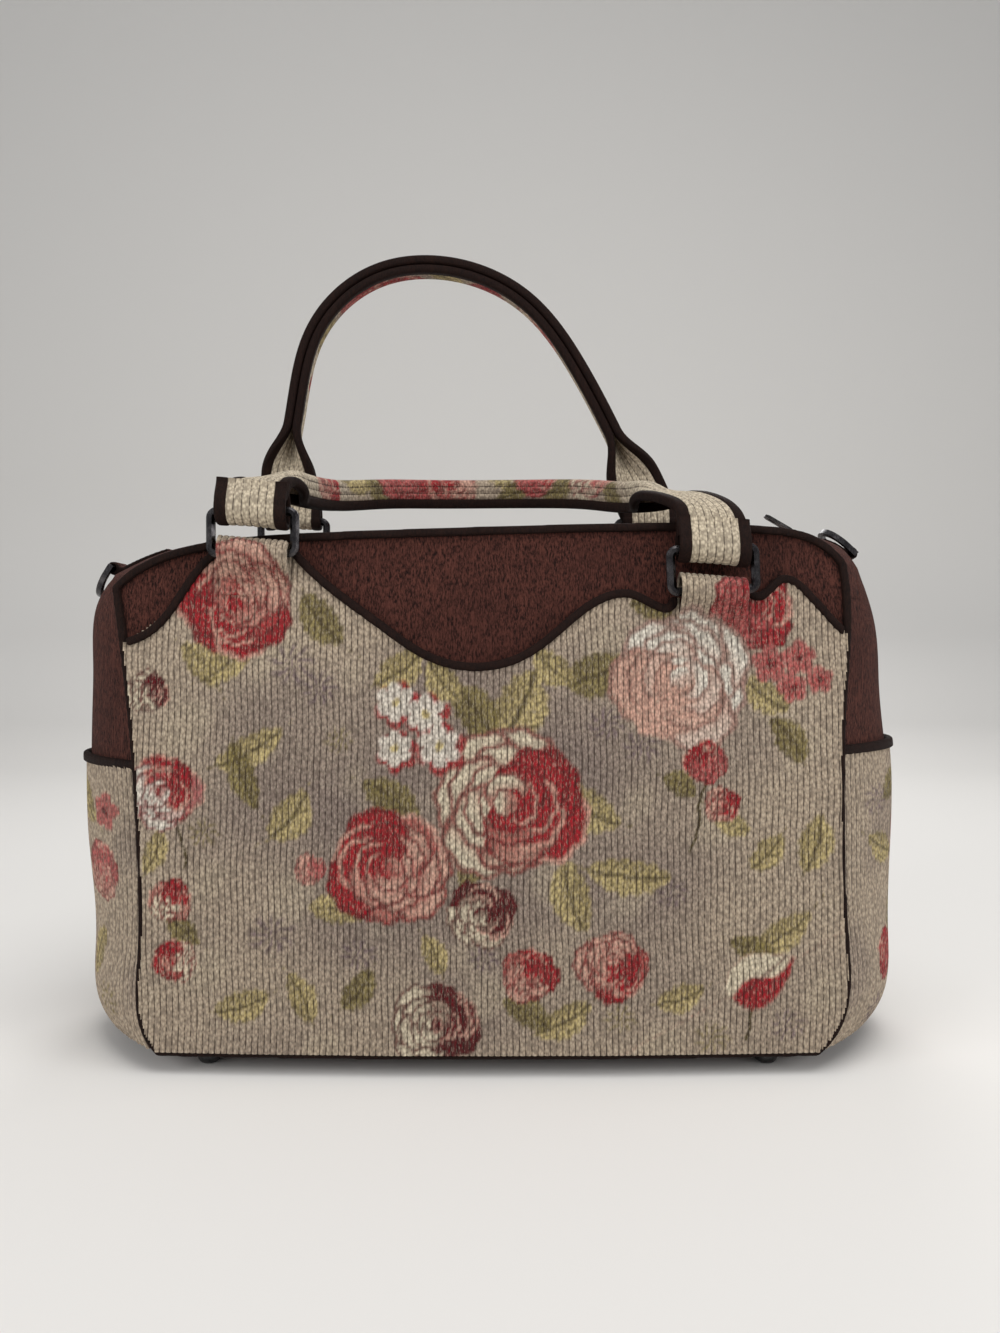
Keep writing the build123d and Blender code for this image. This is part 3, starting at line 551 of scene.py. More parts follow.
FRONT_SPRAYS = (
    ((-98, 206), 15, PLUM), ((-84, 194), 12, PLUM), ((-107, 72), 14, PLUM), ((60, 176), 12, PLUM),
    ((77, 165), 12, PLUM), ((-64, 62), 11, PLUM), ((92, 92), 10, PLUM), ((150, 26), 11, PLUM),
    ((-142, 122), 10, OLIVE), ((112, 20), 11, OLIVE), ((-2, 60), 10, PLUM), ((-74, 168), 9, OLIVE),
    ((66, 30), 10, OLIVE),
)
FRONT_STEMS = (((109, 146), (101, 112)), ((-157, 136), (-150, 104)), ((135, 42), (128, 18)))
FRONT_ROSES = (
    ((-127, 237), 29, RED, BLUSH, -2.0, 2.2), ((-48, 105), 30, RED, BLUSH, 2.6, 4.6),
    ((134, 234), 22, RED, ROSE, 0.4, 1.9), ((98, 198), 35, BLUSH, WHITE, -2.4, 5.9),
    ((11, 137), 38, RED, CREAM, -0.3, 1.3), ((-3, 82), 17, DEEP_RED, CREAM, 0.8, 3.2),
    ((21, 52), 14, RED, BLUSH, 1.2, 0.7), ((62, 56), 18, RED, BLUSH, -0.9, 2.9),
    ((-26, 27), 22, DEEP_RED, CREAM, 0.3, 4.1), ((109, 157), 11, RED, ROSE, 2.2, 5.1),
    ((117, 136), 9, RED, BLUSH, 0.2, 1.1), ((-162, 142), 19, RED, WHITE, 0.9, 3.7),
    ((-158, 88), 11, RED, CREAM, 1.0, 2.0), ((-156, 58), 11, RED, CREAM, 2.9, 5.3),
    ((-88, 104), 8, ROSE, BLUSH, 0.5, 0.4), ((-172, 192), 11, DEEP_RED, CREAM, 0.4, 1.5),
)
WHITE_CLUSTER = (((-46, 187), 11), ((-31, 181), 11), ((-46, 164), 10), ((-24, 165), 12))
RED_CLUSTER = (((143, 206), 11), ((158, 209), 10), ((154, 194), 9), ((168, 198), 8))


def front_print(x, z):
    """The colour of the front pocket's print at points in millimetres."""
    x = x + 0.8 * ripple(x, z, 2.3, 3.1)
    z = z + 0.8 * ripple(x, z, 2.7, 7.7)
    canvas = np.repeat(TAUPE[None, :], len(x), axis=0)
    middle = 1 - step(np.hypot((x + 10) / 185, (z - 125) / 120), 0.35, 1.05)
    canvas = lay(canvas, np.clip(middle * 0.85 + 0.45 * ripple(x, z, 26, 1.0), 0, 1), STONE)
    canvas = lay(canvas, step(ripple(x, z, 15, 5.0), 0.2, 0.7) * 0.45, SAND)
    for centre, size, colour in FRONT_SPRAYS:
        canvas = spray(canvas, x, z, centre, size, colour, centre[0] * 0.1)
    canvas = scatter(canvas, x, z, leaf, FRONT_LEAVES)
    canvas = scatter(canvas, x, z, stem, FRONT_STEMS)
    canvas = scatter(canvas, x, z, rose, FRONT_ROSES)
    for centre, size in WHITE_CLUSTER:
        canvas = blossom(canvas, x, z, (centre[0] + 1.5, centre[1] - 1.5), size * 1.2, RED, DEEP_RED, 6, 0.7)
        canvas = blossom(canvas, x, z, centre, size, WHITE, MUSTARD, 6, size)
    for centre, size in RED_CLUSTER:
        canvas = blossom(canvas, x, z, centre, size, ROSE, DEEP_RED, 5, centre[0])
        canvas = spray(canvas, x, z, centre, size * 0.8, RED, centre[1])
    return tulip(canvas, x, z, (137, 50), 19, 13, 0.5, RED, CREAM)


# %% Print: the back, the sides and the handles
def back_print(x, z):
    """The back pocket is cut from the same cloth a little further along, so its flowers are the same kind."""
    return front_print(-x + 22.0, (z - 4.0) * 1.02)


SIDE_LEAVES = (
    ((-30, 132), 17, 9, 0.8, MUSTARD), ((22, 74), 18, 9, 2.4, OLIVE), ((44, 108), 16, 8, 0.4, MUSTARD),
    ((-42, 52), 16, 8, 2.0, MUSTARD), ((4, 40), 15, 8, 0.3, MUSTARD), ((30, 140), 15, 8, 2.8, OLIVE),
)
SIDE_ROSES = (
    ((0, 108), 26, RED, CREAM, 0.4, 3.3), ((-46, 96), 16, ROSE, BLUSH, 2.0, 1.3),
    ((40, 50), 14, RED, ROSE, 1.0, 2.3),
)
SIDE_SPRAYS = (((-20, 62), 13, PLUM), ((50, 134), 12, PLUM), ((-56, 30), 12, OLIVE), ((52, 24), 12, PLUM))
SIDE_BLOSSOMS = (((-52, 128), 11), ((14, 22), 9), ((-14, 148), 8))


def side_print(y, z):
    """The side pockets' print, across the gusset and up."""
    canvas = np.repeat(TAUPE[None, :], len(y), axis=0)
    y = y + 1.0 * ripple(y, z, 2.3, 1.1)
    canvas = lay(canvas, step(ripple(y, z, 22, 4.0), 0.0, 0.6) * 0.5, STONE)
    canvas = scatter(canvas, y, z, leaf, SIDE_LEAVES)
    canvas = scatter(canvas, y, z, rose, SIDE_ROSES)
    for centre, size, colour in SIDE_SPRAYS:
        canvas = spray(canvas, y, z, centre, size, colour, centre[0])
    for centre, size in SIDE_BLOSSOMS:
        canvas = blossom(canvas, y, z, centre, size, ROSE, DEEP_RED, 5, centre[0])
    return canvas


HANDLE_LEAVES = (
    ((-98, 3), 16, 11, 0.4, MUSTARD), ((-80, -6), 14, 9, -0.6, OLIVE), ((4, 5), 14, 9, 2.4, MUSTARD),
    ((48, -5), 14, 9, 0.5, OLIVE), ((100, -8), 12, 6, -0.5, OLIVE), ((16, -8), 12, 7, 0.4, OLIVE),
)
HANDLE_ROSES = (
    ((-132, -5), 13, RED, BLUSH, 0.4, 2.2), ((-58, 4), 21, RED, ROSE, 0.9, 4.6),
    ((-28, -4), 17, RED, BLUSH, 2.2, 0.6), ((31, 2), 14, RED, ROSE, 0.9, 1.6),
    ((74, 5), 19, ROSE, CREAM, 0.9, 3.6),
)


def handle_print(along, across):
    """A strip cut from the same cloth: along runs from the strap's middle, across from its mid line."""
    across = across + 0.6 * ripple(along, across, 2.4, 1.7)
    canvas = np.repeat(TAUPE[None, :], len(along), axis=0)
    canvas = lay(canvas, step(ripple(along, across, 15, 1.0), 0.0, 0.6) * 0.5, STONE)
    canvas = lay(canvas, step(np.abs(along), 96, 128) * 0.6, CREAM)
    canvas = scatter(canvas, along, across, leaf, HANDLE_LEAVES)
    return scatter(canvas, along, across, rose, HANDLE_ROSES)


print("roses in the print", len(FRONT_ROSES), len(SIDE_ROSES), len(HANDLE_ROSES))


# %% [markdown]
# The body's form is known: the front and back walls bow outward on large radii, and the sides, base and top
# are one smooth band that runs from the front seam over the widest line to the back seam. Fine grids are
# built on those same forms, because a grid takes ribs, dents and print better than the CAD's facets do.

# %% Body: outlines as smooth lines
def smooth_line(points, count):
    """Points along a natural cubic curve through the given points, spread by distance."""
    points = np.array(points, float)
    if len(points) == 2:
        share = np.linspace(0, 1, count)[:, None]
        return points[0] * (1 - share) + points[1] * share
    knots = np.concatenate([[0], np.cumsum(np.linalg.norm(np.diff(points, axis=0), axis=1))])
    gaps = np.diff(knots)
    size = len(points)
    system = np.zeros((size, size))
    right = np.zeros((size, points.shape[1]))
    system[0, 0] = system[-1, -1] = 1
    for i in range(1, size - 1):
        system[i, i - 1:i + 2] = (gaps[i - 1], 2 * (gaps[i - 1] + gaps[i]), gaps[i])
        right[i] = 6 * ((points[i + 1] - points[i]) / gaps[i] - (points[i] - points[i - 1]) / gaps[i - 1])
    bend = np.linalg.solve(system, right)
    at = np.linspace(0, knots[-1], count)
    i = np.clip(np.searchsorted(knots, at, side="right") - 1, 0, size - 2)
    a = (knots[i + 1] - at)[:, None]
    b = (at - knots[i])[:, None]
    h = gaps[i][:, None]
    return (bend[i] * a ** 3 + bend[i + 1] * b ** 3) / (6 * h) + (points[i] / h - bend[i] * h / 6) * a + (
        points[i + 1] / h - bend[i + 1] * h / 6) * b


# The body's outlines in X and Z, each as base, right side, top and left side: the seams, and the widest line
SEAM_EDGES = [
    [(-166, 11), (166, 11)],
    [(166, 11), (176, 24), (179, 75), (178, 130), (179.5, 180), (184, 228), (183, 257)],
    [(183, 257), (170, 269), (141, 275), (60, 275.8), (-4, 274), (-92, 271), (-144, 266.4), (-175, 257),
     (-191, 245)],
    [(-191, 245), (-186, 218), (-179.5, 175), (-174.5, 120), (-173.5, 60), (-172, 22), (-166, 11)],
]
MIDDLE_EDGES = [
    [(-206, 6), (206, 6)],
    [(206, 6), (220, 20), (224, 60), (226, 100), (226.5, 155), (222, 195), (218, 230), (208, 258)],
    [(208, 258), (200, 269), (188, 274), (160, 274), (100, 274), (40, 274), (-20, 274), (-80, 274),
     (-125, 274), (-146, 274), (-178, 269), (-208, 257)],
    [(-208, 257), (-220, 243), (-225, 205), (-226.5, 155), (-225, 105), (-221, 50), (-217, 18), (-206, 6)],
]
EDGE_STEPS = (104, 70, 104, 70)


def whole_line(edges):
    """The closed outline as one array of points in X and Z."""
    return np.concatenate([smooth_line(edge, steps + 1)[:-1] for edge, steps in zip(edges, EDGE_STEPS)])


seam_line = whole_line(SEAM_EDGES)
middle_line = whole_line(MIDDLE_EDGES)
print("outline points", len(seam_line))


# %% Body: the bowed walls and the band between them
WALL_BOW = 3000.0
WALL_CURVE = 1300
WALL_MIDDLE = 54
HALF_DEPTH = 84
FOOT_HEIGHT = 11
TOP_HEIGHT = 274
FOOT_SEAM_DEPTH = 79
TOP_SEAM_DEPTH = 62
LEAN = (FOOT_SEAM_DEPTH - TOP_SEAM_DEPTH) / (TOP_HEIGHT - FOOT_HEIGHT)


def face_depth(x, z):
    """Half depth of the bowed walls, in millimetres."""
    reach = WALL_BOW - np.sqrt(WALL_BOW ** 2 - x ** 2)
    return HALF_DEPTH - WALL_CURVE + np.sqrt((WALL_CURVE - reach) ** 2 - (z - WALL_MIDDLE) ** 2)


def sag(x, z):
    """Slight dents of soft cloth over the body, in millimetres."""
    return 0.55 * ripple(x, z, 38, 2.0) + 0.35 * ripple(x, z, 17, 6.0)


def side_swell(points):
    """How far the soft band swells, in millimetres."""
    return 0.8 * ripple(points[:, 1] + points[:, 0] * 0.2, points[:, 2], 30, 3.0)


def band_points(seam, middle, across):
    """Points of the band between outlines in X and Z, from -1 at the front seam to 1 at the back seam."""
    depth = FOOT_SEAM_DEPTH - (seam[:, 1] - FOOT_HEIGHT) * LEAN
    front = np.stack([seam[:, 0], -depth, seam[:, 1]], axis=1)
    back = np.stack([seam[:, 0], depth, seam[:, 1]], axis=1)
    centre = np.stack([middle[:, 0], np.zeros(len(middle)), middle[:, 1]], axis=1)
    s = across[:, None]
    return front * s * (s - 1) / 2 + centre * (1 - s * s) + back * s * (s + 1) / 2


def grid_object(name, points, rows, columns, keep=None, closed=False):
    """A mesh from a grid of points in millimetres, without the cells that keep leaves out."""
    cells = []
    last = columns if closed else columns - 1
    for row in range(rows - 1):
        for column in range(last):
            right = (column + 1) % columns
            if keep is None or keep[row, column]:
                cells.append((row * columns + column, row * columns + right,
                              (row + 1) * columns + right, (row + 1) * columns + column))
    used = np.unique(np.array(cells))
    number = -np.ones(len(points), int)
    number[used] = np.arange(len(used))
    made = mesh_object(name, points[used] * 0.001, [tuple(int(number[c]) for c in cell) for cell in cells])
    return made, used


def add_colours(made, colours, gaps):
    """Writes the print and the painted shade of the rib gaps to the mesh's points."""
    paint = made.data.attributes.new("print", "FLOAT_COLOR", "POINT")
    paint.data.foreach_set("color", np.concatenate([colours, np.ones((len(colours), 1))], axis=1).ravel())
    gap_shade = made.data.attributes.new("gap_shade", "FLOAT", "POINT")
    gap_shade.data.foreach_set("value", np.asarray(gaps, float))


def face_away(made, middle=(0, 0, 0.14), round_bar=False):
    """Turns the faces so that most look away from a point in metres, or from a bar along X through it."""
    looks = 0.0
    for face in made.data.polygons:
        away = face.center - Vector(middle)
        if round_bar:
            away.x = 0
        looks += face.normal.dot(away) * face.area
    if looks < 0:
        made.data.flip_normals()
        made.data.update()


def apply_modifiers(made):
    """Turns what the modifiers show into the object's own mesh."""
    graph = bpy.context.evaluated_depsgraph_get()
    made.data = bpy.data.meshes.new_from_object(made.evaluated_get(graph))
    made.modifiers.clear()


def thicken(made, thickness):
    """Gives a grid its cloth's thickness in millimetres, inward."""
    solid = made.modifiers.new("thickness", "SOLIDIFY")
    solid.thickness = thickness * 0.001
    solid.offset = -1.0
    apply_modifiers(made)


def finish_piece(made, material, body, slot, *stands_for):
    """Material, body and the nodes that the piece stands for. The slot is not used."""
    made.data.materials.clear()
    made.data.materials.append(material)
    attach(made, body)
    if stands_for:
        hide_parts(*stands_for)
    print(made.name, "faces", len(made.data.polygons))


# %% [markdown]
# The gussets, base and top strips are cut from the one band, each along the grid's own lines, so their edges
# meet. Between the two top strips the band is left open for the zip.

# %% Body: gussets, base panel and top strips
CLOTH = 2.5
ZIP_SHARE = 0.113
ZIP_HALF = 7.0


def along_top(x, z):
    """True along the top, between the gussets' upper ends."""
    return (z > 240) & (x > -154) & (x < 196)


side_steps = np.linspace(ZIP_SHARE, 1, 20)
zip_steps = np.linspace(-ZIP_SHARE, ZIP_SHARE, 5)
across_steps = np.unique(np.concatenate([-side_steps, zip_steps, side_steps]))
band_rows = len(across_steps)
band_columns = len(seam_line)
across_grid = np.repeat(across_steps, band_columns)
band = band_points(np.tile(seam_line, (band_rows, 1)), np.tile(middle_line, (band_rows, 1)), across_grid)
top_zone = along_top(band[:, 0], band[:, 2])
zip_edge = top_zone & (np.abs(np.abs(across_grid) - ZIP_SHARE) < 0.001)
band[zip_edge, 1] = np.sign(band[zip_edge, 1]) * ZIP_HALF
swell = side_swell(band) * (1 - np.abs(across_grid) ** 4) * np.where(top_zone, 0.5, 1.0)
on_side = (np.abs(band[:, 0]) > 165) & (band[:, 2] < 250) & (band[:, 2] > 20)
band[:, 0] += np.sign(band[:, 0]) * swell * on_side
cell_middle = band.reshape(band_rows, band_columns, 3)
cell_middle = (cell_middle[:-1] + cell_middle[1:]) / 2
cell_middle = (cell_middle + np.roll(cell_middle, -1, axis=1)) / 2
middle_x, middle_y, middle_z = cell_middle[..., 0], cell_middle[..., 1], cell_middle[..., 2]
in_top = along_top(middle_x, middle_z)
in_base = (np.abs(middle_x) < 158) & (middle_z < 60)
in_gap = in_top & (np.abs(middle_y) < ZIP_HALF)
for name, keep in (
    ("left_gusset", ~in_top & ~in_base & (middle_x < 0)),
    ("right_gusset", ~in_top & ~in_base & (middle_x > 0)),
    ("base_panel", in_base),
    ("front_top_strip", in_top & ~in_gap & (middle_y < 0)),
    ("back_top_strip", in_top & ~in_gap & (middle_y > 0)),
):
    panel, _ = grid_object(name + "_cloth", band, band_rows, band_columns, keep, closed=True)
    face_away(panel)
    thicken(panel, CLOTH)
    finish_piece(panel, tweed, "bag", "tweed", name)


# %% [markdown]
# The front and back walls are tweed too. Only their upper part shows above the pocket. The grid ends under
# the piping, which covers its edge.

# %% Body: front and back walls
top_line = smooth_line(SEAM_EDGES[2], 120)[::-1]
right_side = smooth_line(SEAM_EDGES[1], 60)
left_side = smooth_line(SEAM_EDGES[3], 60)[::-1]


def inside_seam(x, z, inset=0.3):
    """True inside the seam outline, less an inset in millimetres."""
    right_end = np.interp(z, right_side[:, 1], right_side[:, 0]) - inset
    left_end = np.interp(z, left_side[:, 1], left_side[:, 0]) + inset
    ceiling = np.interp(x, top_line[:, 0], top_line[:, 1]) - inset
    return (x > left_end) & (x < right_end) & (z > FOOT_HEIGHT + inset) & (z < ceiling)


def wall_grid(x_steps, z_steps):
    """The X and Z of every point of an upright grid."""
    grid_x, grid_z = np.meshgrid(x_steps, z_steps)
    return grid_x.ravel(), grid_z.ravel()


def cell_places(values, rows, columns, half_step):
    """The middle of each cell, from its first corner."""
    return values.reshape(rows, columns)[:-1, :-1] + half_step


WALL_STEP = 2.5
xs = np.arange(-194, 190, WALL_STEP)
zs = np.arange(10, 278, WALL_STEP)
x, z = wall_grid(xs, zs)
cell_x, cell_z = (cell_places(values, len(zs), len(xs), WALL_STEP / 2) for values in (x, z))
for name, side in (("front_wall", -1), ("back_wall", 1)):
    points = np.stack([x, side * (face_depth(x, z) + sag(x, z) * 0.8 - 0.4), z], axis=1)
    wall, _ = grid_object(name + "_cloth", points, len(zs), len(xs), inside_seam(cell_x, cell_z))
    face_away(wall)
    thicken(wall, CLOTH)
    finish_piece(wall, tweed, "bag", "tweed", name)


# %% [markdown]
# Cords, bindings, straps and tabs are thick for their width, and in cloth they have no sharp corner. The CAD
# solids of the cords, bindings and end tabs are turned into an even skin of small squares by a voxel remesh
# and then smoothed, which rounds them as stuffing and stitching would. The CAD nodes stay untouched, hidden.

# %% Soft pieces: an even, rounded skin from a CAD solid
def copied_node(node, suffix):
    """A CAD node's shape as a new object."""
    return add_object(node + suffix, nodes[node].data.copy())


def soft_skin(node, voxel, smoothing):
    """A rounded copy of a CAD node, as its own object."""
    made = copied_node(node, "_soft")
    skin = made.modifiers.new("skin", "REMESH")
    skin.mode = "VOXEL"
    skin.voxel_size = voxel
    rounding = made.modifiers.new("rounding", "SMOOTH")
    rounding.factor = 0.5
    rounding.iterations = smoothing
    apply_modifiers(made)
    made.data.shade_smooth()
    return made


for name in ("front_piping", "back_piping", "front_pocket_binding", "back_pocket_binding",
             "left_pocket_binding", "right_pocket_binding", "left_tab_binding", "right_tab_binding"):
    finish_piece(soft_skin(name, 0.0011, 6), binding, "bag", "binding", name)
for name in ("left_end_tab", "right_end_tab"):
    finish_piece(soft_skin(name, 0.0008, 3), tweed, "bag", "tweed", name)


# %% [markdown]
# Each handle is a strap of printed knit with both edges bound in dark tape. It's flat where it leaves its
# rings, and folded in half along its length where the hand goes. The fold is worked out for each of many
# stations along a smooth path, from the strap's width, so the cloth keeps its width through the fold.

# %% Handles: the path and the fold
STRAP_WIDTH = 36.0
STRAP_PLY = 4.4
TAPE_PLY = 2.75
ROLL_PLY = 2.4
ROLL_TAPE_PLY = 1.6
FOLD_LENGTH = 8.6
FLAT_FOLD = math.radians(3)
FULL_FOLD = math.radians(178)
BOUND_WIDTH = 6.2
BARE_HALF = STRAP_WIDTH / 2 - BOUND_WIDTH
RING_RISE = 21.0
STRAP_LEAN = math.radians(9)
CHANNEL = {-1: 5.4, 1: 2.8}
LOOP_PLY = 2.5
POCKET_FACE = 4.4
BAR_GAP = 1.0
BAR_RADIUS = 2.2
FRONT_PATH = [
    (-117, -67, 297), (-111, -48, 301), (-104, -20, 301.5), (-92, 18, 304), (-68, 52, 310), (-35, 72, 313),
    (0, 78, 314), (33, 70, 313), (62, 47, 309), (83, 12, 302), (97, -28, 298), (106.5, -58, 291),
    (112, -70, 283.5), (113.3, -74.2, 276),
]
BACK_PATH = [
    (-130, 69.3, 331), (-125.6, 69.4, 362), (-112, 69.5, 417), (-94, 69.5, 440), (-68, 69.5, 455),
    (-38, 69.5, 459), (-6.6, 69.5, 453), (21, 69.6, 438), (57, 69.8, 393), (89, 70, 331),
]


def fold_at(share, flat_end):
    """How far the strap is folded, in radians, at a share of its length."""
    from_end = min(share - 0.035, 1 - share - flat_end)
    return FLAT_FOLD + (FULL_FOLD - FLAT_FOLD) * float(step(from_end, 0, 0.10))


def folded_points(distance, offset, fold):
    """Points of the folded section, from distances off its middle and off its mid line."""
    radius = FOLD_LENGTH / fold
    half_bend = FOLD_LENGTH / 2
    angle = np.minimum(np.abs(distance), half_bend) / radius
    straight = np.maximum(np.abs(distance) - half_bend, 0)
    leg = STRAP_WIDTH / 2 - half_bend
    lift = (radius * (1 - math.cos(fold / 2)) + leg * math.sin(fold / 2)) / 2
    across = radius * np.sin(angle) + straight * math.cos(fold / 2) + offset * np.sin(angle)
    outward = radius * (np.cos(angle) - 1) - straight * math.sin(fold / 2) + offset * np.cos(angle)
    return np.sign(distance) * across, outward + lift


def bar_place(side, place):
    """The middle of a ring's lower bar."""
    depth = float(face_depth(place[0], place[1]))
    return np.array([place[0], side * (depth + POCKET_FACE + BAR_GAP + BAR_RADIUS), place[1]])


# %% Handles: sweep a section along the path
def sweep(name, frames, section):
    """A closed skin through one ring of points per frame. section(fold) gives across and outward."""
    rings = []
    for origin, across, up, fold in frames:
        flat, out = section(fold)
        rings.append(origin + flat[:, None] * across + out[:, None] * up)
    made, _ = grid_object(name, np.concatenate(rings), len(rings), len(rings[0]), closed=True)
    return made


def directions(line):
    """Unit directions along a line of points."""
    along = np.gradient(line, axis=0)
    return along / np.linalg.norm(along, axis=1, keepdims=True)


def strap_frames(path, outward, flat_end, count=200):
    """Origin, across, up and fold for each station."""
    line = smooth_line(path, count)
    frames = []
    for number, (origin, along) in enumerate(zip(line, directions(line))):
        up = outward - along * outward.dot(along)
        up /= np.linalg.norm(up)
        frames.append((origin, np.cross(up, along), up, fold_at(number / (count - 1), flat_end)))
    return frames


# %% Handles: rolls round the rings' upper bars
def drop_outline(radius, neck, height, count=40):
    """A drop's outline, open at the top: round below, drawn in to a neck above. First value is outward."""
    low = [(radius * math.sin(a), -radius * math.cos(a)) for a in np.linspace(-2.05, 2.05, count)]
    end = low[-1]
    rise = [(end[0] + (neck - end[0]) * float(step(t, 0, 1)), end[1] + (height - end[1]) * t)
            for t in np.linspace(0, 1, 14)[1:]]
    return [(-a, b) for a, b in reversed(rise)] + low + rise


def sleeve_frames(centre, side, tilt, radius, reach):
    """Frames that follow the drop's outline round a bar, with their across axis along the bar."""
    outline = drop_outline(radius, 1.1, reach)
    line = np.array([centre + np.array([0, side * out, height]) for out, height in outline])
    bar = np.array([math.cos(tilt), 0, math.sin(tilt)])
    frames = []
    for origin, along in zip(line, directions(line)):
        up = np.cross(along, bar) * -side
        frames.append((origin, bar, up / np.linalg.norm(up), FLAT_FOLD))
    return frames


def rounded(wave):
    """A wave made squarer, so that a section through it has soft corners."""
    return np.sign(wave) * np.abs(wave) ** 0.6


def tape_section(hand, ply, count=18):
    """The rounded tape on one edge of the strap, as a function of the fold."""
    turns = np.linspace(0, 2 * math.pi, count, endpoint=False)
    distance = hand * (BARE_HALF + BOUND_WIDTH / 2) + BOUND_WIDTH / 2 * rounded(np.cos(turns))
    offset = ply * rounded(np.sin(turns))
    return lambda fold: folded_points(distance, offset, fold)


def rib_wave(across, pitch=RIB_PITCH):
    """Depth from 0 in the gap to 1 on the rib, and the painted shade of the gap."""
    phase = (across / pitch) % 1.0
    crown = np.sqrt(np.clip(np.sin(np.pi * phase), 0, 1))
    return crown, 1 - step(crown, 0.1, 0.62)


STRAP_COLUMNS = RIBS_IN_STRAP * 5 + 1
STRAP_HALF = RIBS_IN_STRAP * STRAP_PITCH / 2
strap_out = np.linspace(-STRAP_HALF, STRAP_HALF, STRAP_COLUMNS)
strap_ring = np.concatenate([strap_out, strap_out[::-1]])
strap_crown, _ = rib_wave(strap_out + STRAP_HALF, STRAP_PITCH)
# Painted shade in the grooves between the strap's ribs.
strap_gap_shade = rib_wave(strap_ring + STRAP_HALF, STRAP_PITCH)[1]


def cloth_section(ply):
    """The strap's knit between its tapes, ribbed on both faces, as a function of the fold."""
    face = ply / 2 + 0.5 * (strap_crown - 0.9)
    offset = np.concatenate([face, -face[::-1]])
    return lambda fold: folded_points(strap_ring, offset, fold)


def join(pieces):
    """Joins mesh objects into the first."""
    with bpy.context.temp_override(active_object=pieces[0], selected_editable_objects=pieces):
        bpy.ops.object.join()
    return pieces[0]


# %% Handles: build both
RINGS = {-1: ((-118.5, 262.0), (113.5, 243.0)), 1: ((-127.0, 275.0), (103.5, 275.0))}
RING_TILT = {-1: math.atan2(243.0 - 262.0, 232.0), 1: 0.0}
for side, name, body, path, outward, flat_end in (
    (-1, "front_handle", "front_carry", FRONT_PATH, (0, -math.sin(STRAP_LEAN), math.cos(STRAP_LEAN)), 0.13),
    (1, "back_handle", "back_carry", BACK_PATH, (0.0, 1.0, 0.0), 0.035),
):
    bars = [bar_place(side, place) + np.array([0, 0, RING_RISE]) for place in RINGS[side]]
    lift = np.array([0, 0, CHANNEL[side] + 0.8])
    frames = strap_frames([bars[0] + lift, *path, bars[1] + lift], np.array(outward), flat_end)
    runs = np.linalg.norm(np.diff([frame[0] for frame in frames], axis=0), axis=1)
    reach = np.concatenate([[0], np.cumsum(runs)]) - runs.sum() / 2
    runs_of_cloth = [(name, frames, reach, STRAP_PLY, TAPE_PLY)]
    for bar, start in zip(bars, (reach[0], reach[-1])):
        radius = CHANNEL[side] + LOOP_PLY / 2
        sleeve = sleeve_frames(bar, side, RING_TILT[side], radius, radius + 9.0)
        along = [start + frame[0][2] - bar[2] for frame in sleeve]
        runs_of_cloth.append((name + "_roll", sleeve, along, ROLL_PLY, ROLL_TAPE_PLY))
    knits = []
    tapes = []
    for run_name, frames, along, ply, tape_ply in runs_of_cloth:
        cloth = sweep(run_name + "_knit", frames, cloth_section(ply))
        ring = np.tile(strap_ring, len(frames))
        add_colours(cloth, handle_print(np.repeat(along, 2 * STRAP_COLUMNS), ring),
                    np.tile(strap_gap_shade, len(frames)))
        knits.append(cloth)
        tapes += [sweep(run_name + "_edge", frames, tape_section(hand, tape_ply)) for hand in (-1, 1)]
    finish_piece(join(knits), knit, body, "knit", name)
    finish_piece(join(tapes), binding, body, "binding", name + "_binding")


# %% [markdown]
# The pockets are the face of the bag. Their ribs run upright, about three millimetres apart, and each is a
# real ridge: the grid has four columns to a rib, and the depth follows a rounded wave. The top edge is cut
# along the same curves as the bound edge that covers it. The tabs have five columns to a rib.

# %% Pockets: the upper edge as a height for each place across
EDGE_CURVES = {
    -1: ([(-184, 217), (-158, 238), (-146, 256), (-138, 263)],
         [(-99, 263), (-85, 249), (-53, 225), (-28, 209), (-8, 204.5)],
         [(-8, 204.5), (17, 209.5), (43, 229), (58, 239), (72, 241.5), (84, 236), (91, 234), (95, 240)],
         [(132, 244), (138, 240), (150, 249), (165, 240), (182, 222)]),
    1: ([(-184, 217), (-164, 238), (-153, 256), (-147, 268)],
        [(-107, 268), (-92, 251), (-57, 226), (-31, 209), (-10, 204.5)],
        [(-10, 204.5), (10, 209), (37, 226), (71, 251), (84, 268)],
        [(123, 268), (130, 256), (144, 240), (182, 219)]),
}
COLUMNS_IN_RIB = 4
COLUMNS_IN_TAB_RIB = 5
TAB_HALF = 17.2
TAB_DROP = 22.0
TAB_PLY = 2.4
ROW_STEP = 1.5
RIB_DEPTH = 0.8


def edge_height(x, side):
    """Height of the pocket's upper edge at each x."""
    line = np.concatenate([smooth_line(curve, 40) for curve in EDGE_CURVES[side]])
    order = np.argsort(line[:, 0])
    return np.interp(x, line[order, 0], line[order, 1])


